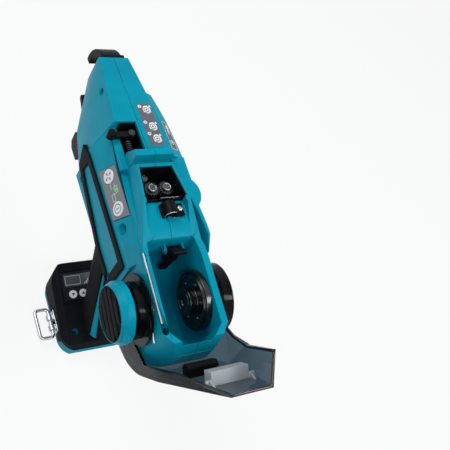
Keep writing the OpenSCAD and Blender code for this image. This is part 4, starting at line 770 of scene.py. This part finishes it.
bend_points = 6
tube_sides = 14
piped, given = node_group("piped", Path="Geometry", Bend="Float", Wire="Float", Finish="Material")
path = add(piped, "GeometryNodeMeshToCurve", {"Mesh": given["Path"]})
bent = add(piped, "GeometryNodeFilletCurve", {
    "Curve": path.outputs[0], "Radius": given["Bend"], "Count": bend_points, "Limit Radius": True},
    mode="POLY")
section = add(piped, "GeometryNodeCurvePrimitiveCircle", {"Resolution": tube_sides, "Radius": given["Wire"]})
tube = add(piped, "GeometryNodeCurveToMesh", {
    "Curve": bent.outputs[0], "Profile Curve": section.outputs[0], "Fill Caps": True})
closed_group(piped, tube.outputs[0], given["Finish"])


def pipe(name, material, points, bend, wire):
    mesh = bpy.data.meshes.new(name)
    mesh.from_pydata(points, [(k, k + 1) for k in range(len(points) - 1)], [])
    piece = grown(name, piped, mesh, {"Bend": bend * mm, "Wire": wire * mm, "Finish": material})
    smooth(piece)
    return piece


left_lip = [(-36.2, 9, 50.2), (-31.4, 60, 50.2), (-26.4, 88, 54.6)]
front_end = [(-19.6, 122.8, 59.6), (19.0, 122.8, 59.8), (23.8, 122.8, 32.4)]
right_skirt = [(30.4, 73, 36.2), (34.4, 45, 31.2), (36.3, 23, 21.2), (36.3, -26, 19.4)]
edge_points = [swung(*point) for point in left_lip + front_end + right_skirt]
edge_bead = pipe("cover_edge_bead", dark_edge, edge_points, bend=3, wire=1.3)
fit(edge_bead, "cover", "smoke", dark_edge)


# Spring wires: hard-drawn steel, cut and bent from straight wire and laid in the housing.
# Two lie along the left rim and down the wall beside the pivot ring; a zinc plated one lies across the gear
# pocket and bends down into it.

keeper_points = [at(21.2, 87, 44.4), at(-1.8, 87, 44.4), at(-1.8, 87, 23.4)]
fit(pipe("keeper_wire", dark_zinc, keeper_points, bend=2, wire=0.8), "housing", "steel", dark_zinc)
rim_points = [at(-31, -26.75, 28.32), at(-31, 38.43, 34.77)]
fit(pipe("rim_wire", bright_steel, rim_points, bend=1, wire=1.0),
    "housing", "steel", bright_steel, "cover_spring")
wall_points = [at(-34.05, -14, 19), at(-34.05, -36, 9)]
fit(pipe("wall_wire", bright_steel, wall_points, bend=1, wire=0.8), "housing", "steel", bright_steel)


# Reel brake: a curved moulded lever in the front of the chamber that swings into it.
# It turns on a steel pin between two ears of the chamber's front wall.

fit(moulded("brake_lever", edge=1, segments=3), "brake", "black_plastic", black_nylon, "brake_lever")
fit(moulded("brake_pin", edge=0.3), "housing", "steel", bright_steel, "brake_pin")


# Jaw: a hardened curl guide fixed on the nose tip and a hinged arm below it, both blackened.
# The steel twisting shaft comes out between them and ends in a slotted hook.

# Phosphated and oiled steel: the coat hides the metal and is almost black, with soft highlights.
black_phosphate = grained("black_phosphated_steel", "#0D0F11", "#17191C", rough=0.34, grain=1, depth=0.04,
                          IOR=1.3, **{"Specular IOR Level": 0.1})
for node, body, edge, slot, material in (
        ("curl_guide", "housing", 0.8, "dark_steel", black_phosphate),
        ("lower_arm", "jaw_arm", 1.4, "dark_steel", black_phosphate),
        ("arm_pivot_pin", "housing", 0.4, "steel", dark_zinc),
        ("twist_shaft", "twister", 0.5, "steel", dark_zinc),
        ("twist_hook", "twister", 0.5, "steel", dark_zinc)):
    fit(moulded(node, edge), body, slot, material, node)


# Inner drive: a brushless motor and a die-cast gear case for the twisting shaft, a small motor with its
# gearbox for the feed. They lie inside the housing and are only seen when it is taken off.

# Die-cast aluminium: a dull silver with a coarse skin.
cast_aluminium = grained("die_cast_aluminium", "#7F8386", "#9A9EA1", rough=0.45, grain=1, depth=0.06,
                         Metallic=1.0)
for node, body, edge, slot, material in (
        ("gear_case", "housing", 0.8, "aluminium", cast_aluminium),
        ("motor_can", "housing", 0.8, "dark_steel", oxide_steel),
        ("motor_rotor", "rotor", 0.4, "steel", bright_steel),
        ("feed_motor", "housing", 0.8, "dark_steel", oxide_steel),
        ("feed_gearbox", "housing", 0.5, "black_plastic", black_nylon)):
    fit(moulded(node, edge), body, slot, material, node)


# Work lamp: a black nylon shell under the nose with a clear, domed polycarbonate lens in its front.
# The lens has a stepped rim and is pressed into the shell.

fit(moulded("lamp_body", edge=1.2), "housing", "black_plastic", black_nylon, "lamp_body")

# Clear polycarbonate: smooth and bright, and most of the light passes.
clear_lens = grained("clear_lens_polycarbonate", "#EDF2F4", "#F6F9FA", rough=0.08, grain=4, depth=0.01,
                     IOR=1.58, **{"Transmission Weight": 0.85})
lens_steps = [(4.9, 0), (4.9, 1.9), (4.4, 2.0), (4.2, 2.2), (3.4, 2.62), (2.0, 2.9), (0.6, 2.98)]
lens_item = turned("lens_item", lens_steps, 40)
lens_spot = at(0, 222, -52)
forward = (-math.pi / 2, 0, 0)
fit(repeated("lamp_dome", lens_item, [(lens_spot, forward)], clear_lens),
    "housing", "lens", clear_lens, "lamp_lens")


# Trigger group: a curved moulded trigger, a cross-bolt lock and the switch behind it in the grip.
# All are black nylon mouldings; the lock's ends are dished and it slides across the grip.

fit(moulded("trigger", edge=1.6, segments=3), "trigger", "black_plastic", black_nylon, "trigger")
bolt_half = [(3.7, 17.2), (4, 17.4), (4, 19.2), (3.8, 19.6), (3.4, 19.9), (2.4, 19.4)]
bolt = turned("bolt_item", [(r, -h) for r, h in reversed(bolt_half)] + bolt_half, 36)
bolt_spot = middle("lock_button")
to_right = (0, math.pi / 2, 0)
fit(repeated("lock_bolt", bolt, [(bolt_spot, to_right)], black_nylon),
    "lock", "black_plastic", black_nylon, "lock_button")
fit(moulded("switch_block", edge=0.6), "housing", "black_plastic", black_nylon, "switch_block")


# Electronics: a soldered board over the battery slide, a contact block hanging in it and plated blades.
# The blades are stamped brass; the slide is open to the front as no battery is fitted.

# Solder mask is a dark green lacquer with a soft gloss, the plating a pale yellow metal.
solder_mask = grained("green_solder_mask", "#0B3A1E", "#135029", rough=0.35, grain=0.6, depth=0.03, IOR=1.5)
plated_brass = grained("plated_brass", "#A98B45", "#C6A75C", rough=0.28, grain=0.8, depth=0.02, Metallic=1.0)
for node, edge, slot, material in (("controller_board", 0.3, "board", solder_mask),
                                   ("terminal_block", 0.5, "black_plastic", black_nylon),
                                   ("terminal_blades", 0.1, "brass", plated_brass)):
    fit(moulded(node, edge), "housing", slot, material, node)


# Belt hook: a loop of bent steel rod in a stamped bracket on the foot's left side.
# Rod and bracket are bright zinc plated; the rod swings out in the bracket's two eyes.

# Bright zinc: a pale metal with soft reflections.
zinc = grained("bright_zinc_plate", "#A7ABAE", "#C3C7CA", rough=0.28, grain=1, depth=0.02, Metallic=1.0)
fit(moulded("hook_bracket", edge=0.4), "housing", "steel", zinc, "hook_bracket")
hook_eye = Vector(joints["hook_hinge"]["pos_m"])
loop_half = 17
loop_out = -15
loop_corners = [(0, 0), (0, loop_half), (loop_out, loop_half), (loop_out, -loop_half), (0, -loop_half),
                (0, 0)]
loop_points = [hook_eye + Vector((x, y, 0)) * mm for x, y in loop_corners]
fit(pipe("hook_loop", zinc, loop_points, bend=4, wire=2.0), "hook", "steel", zinc, "belt_hook")
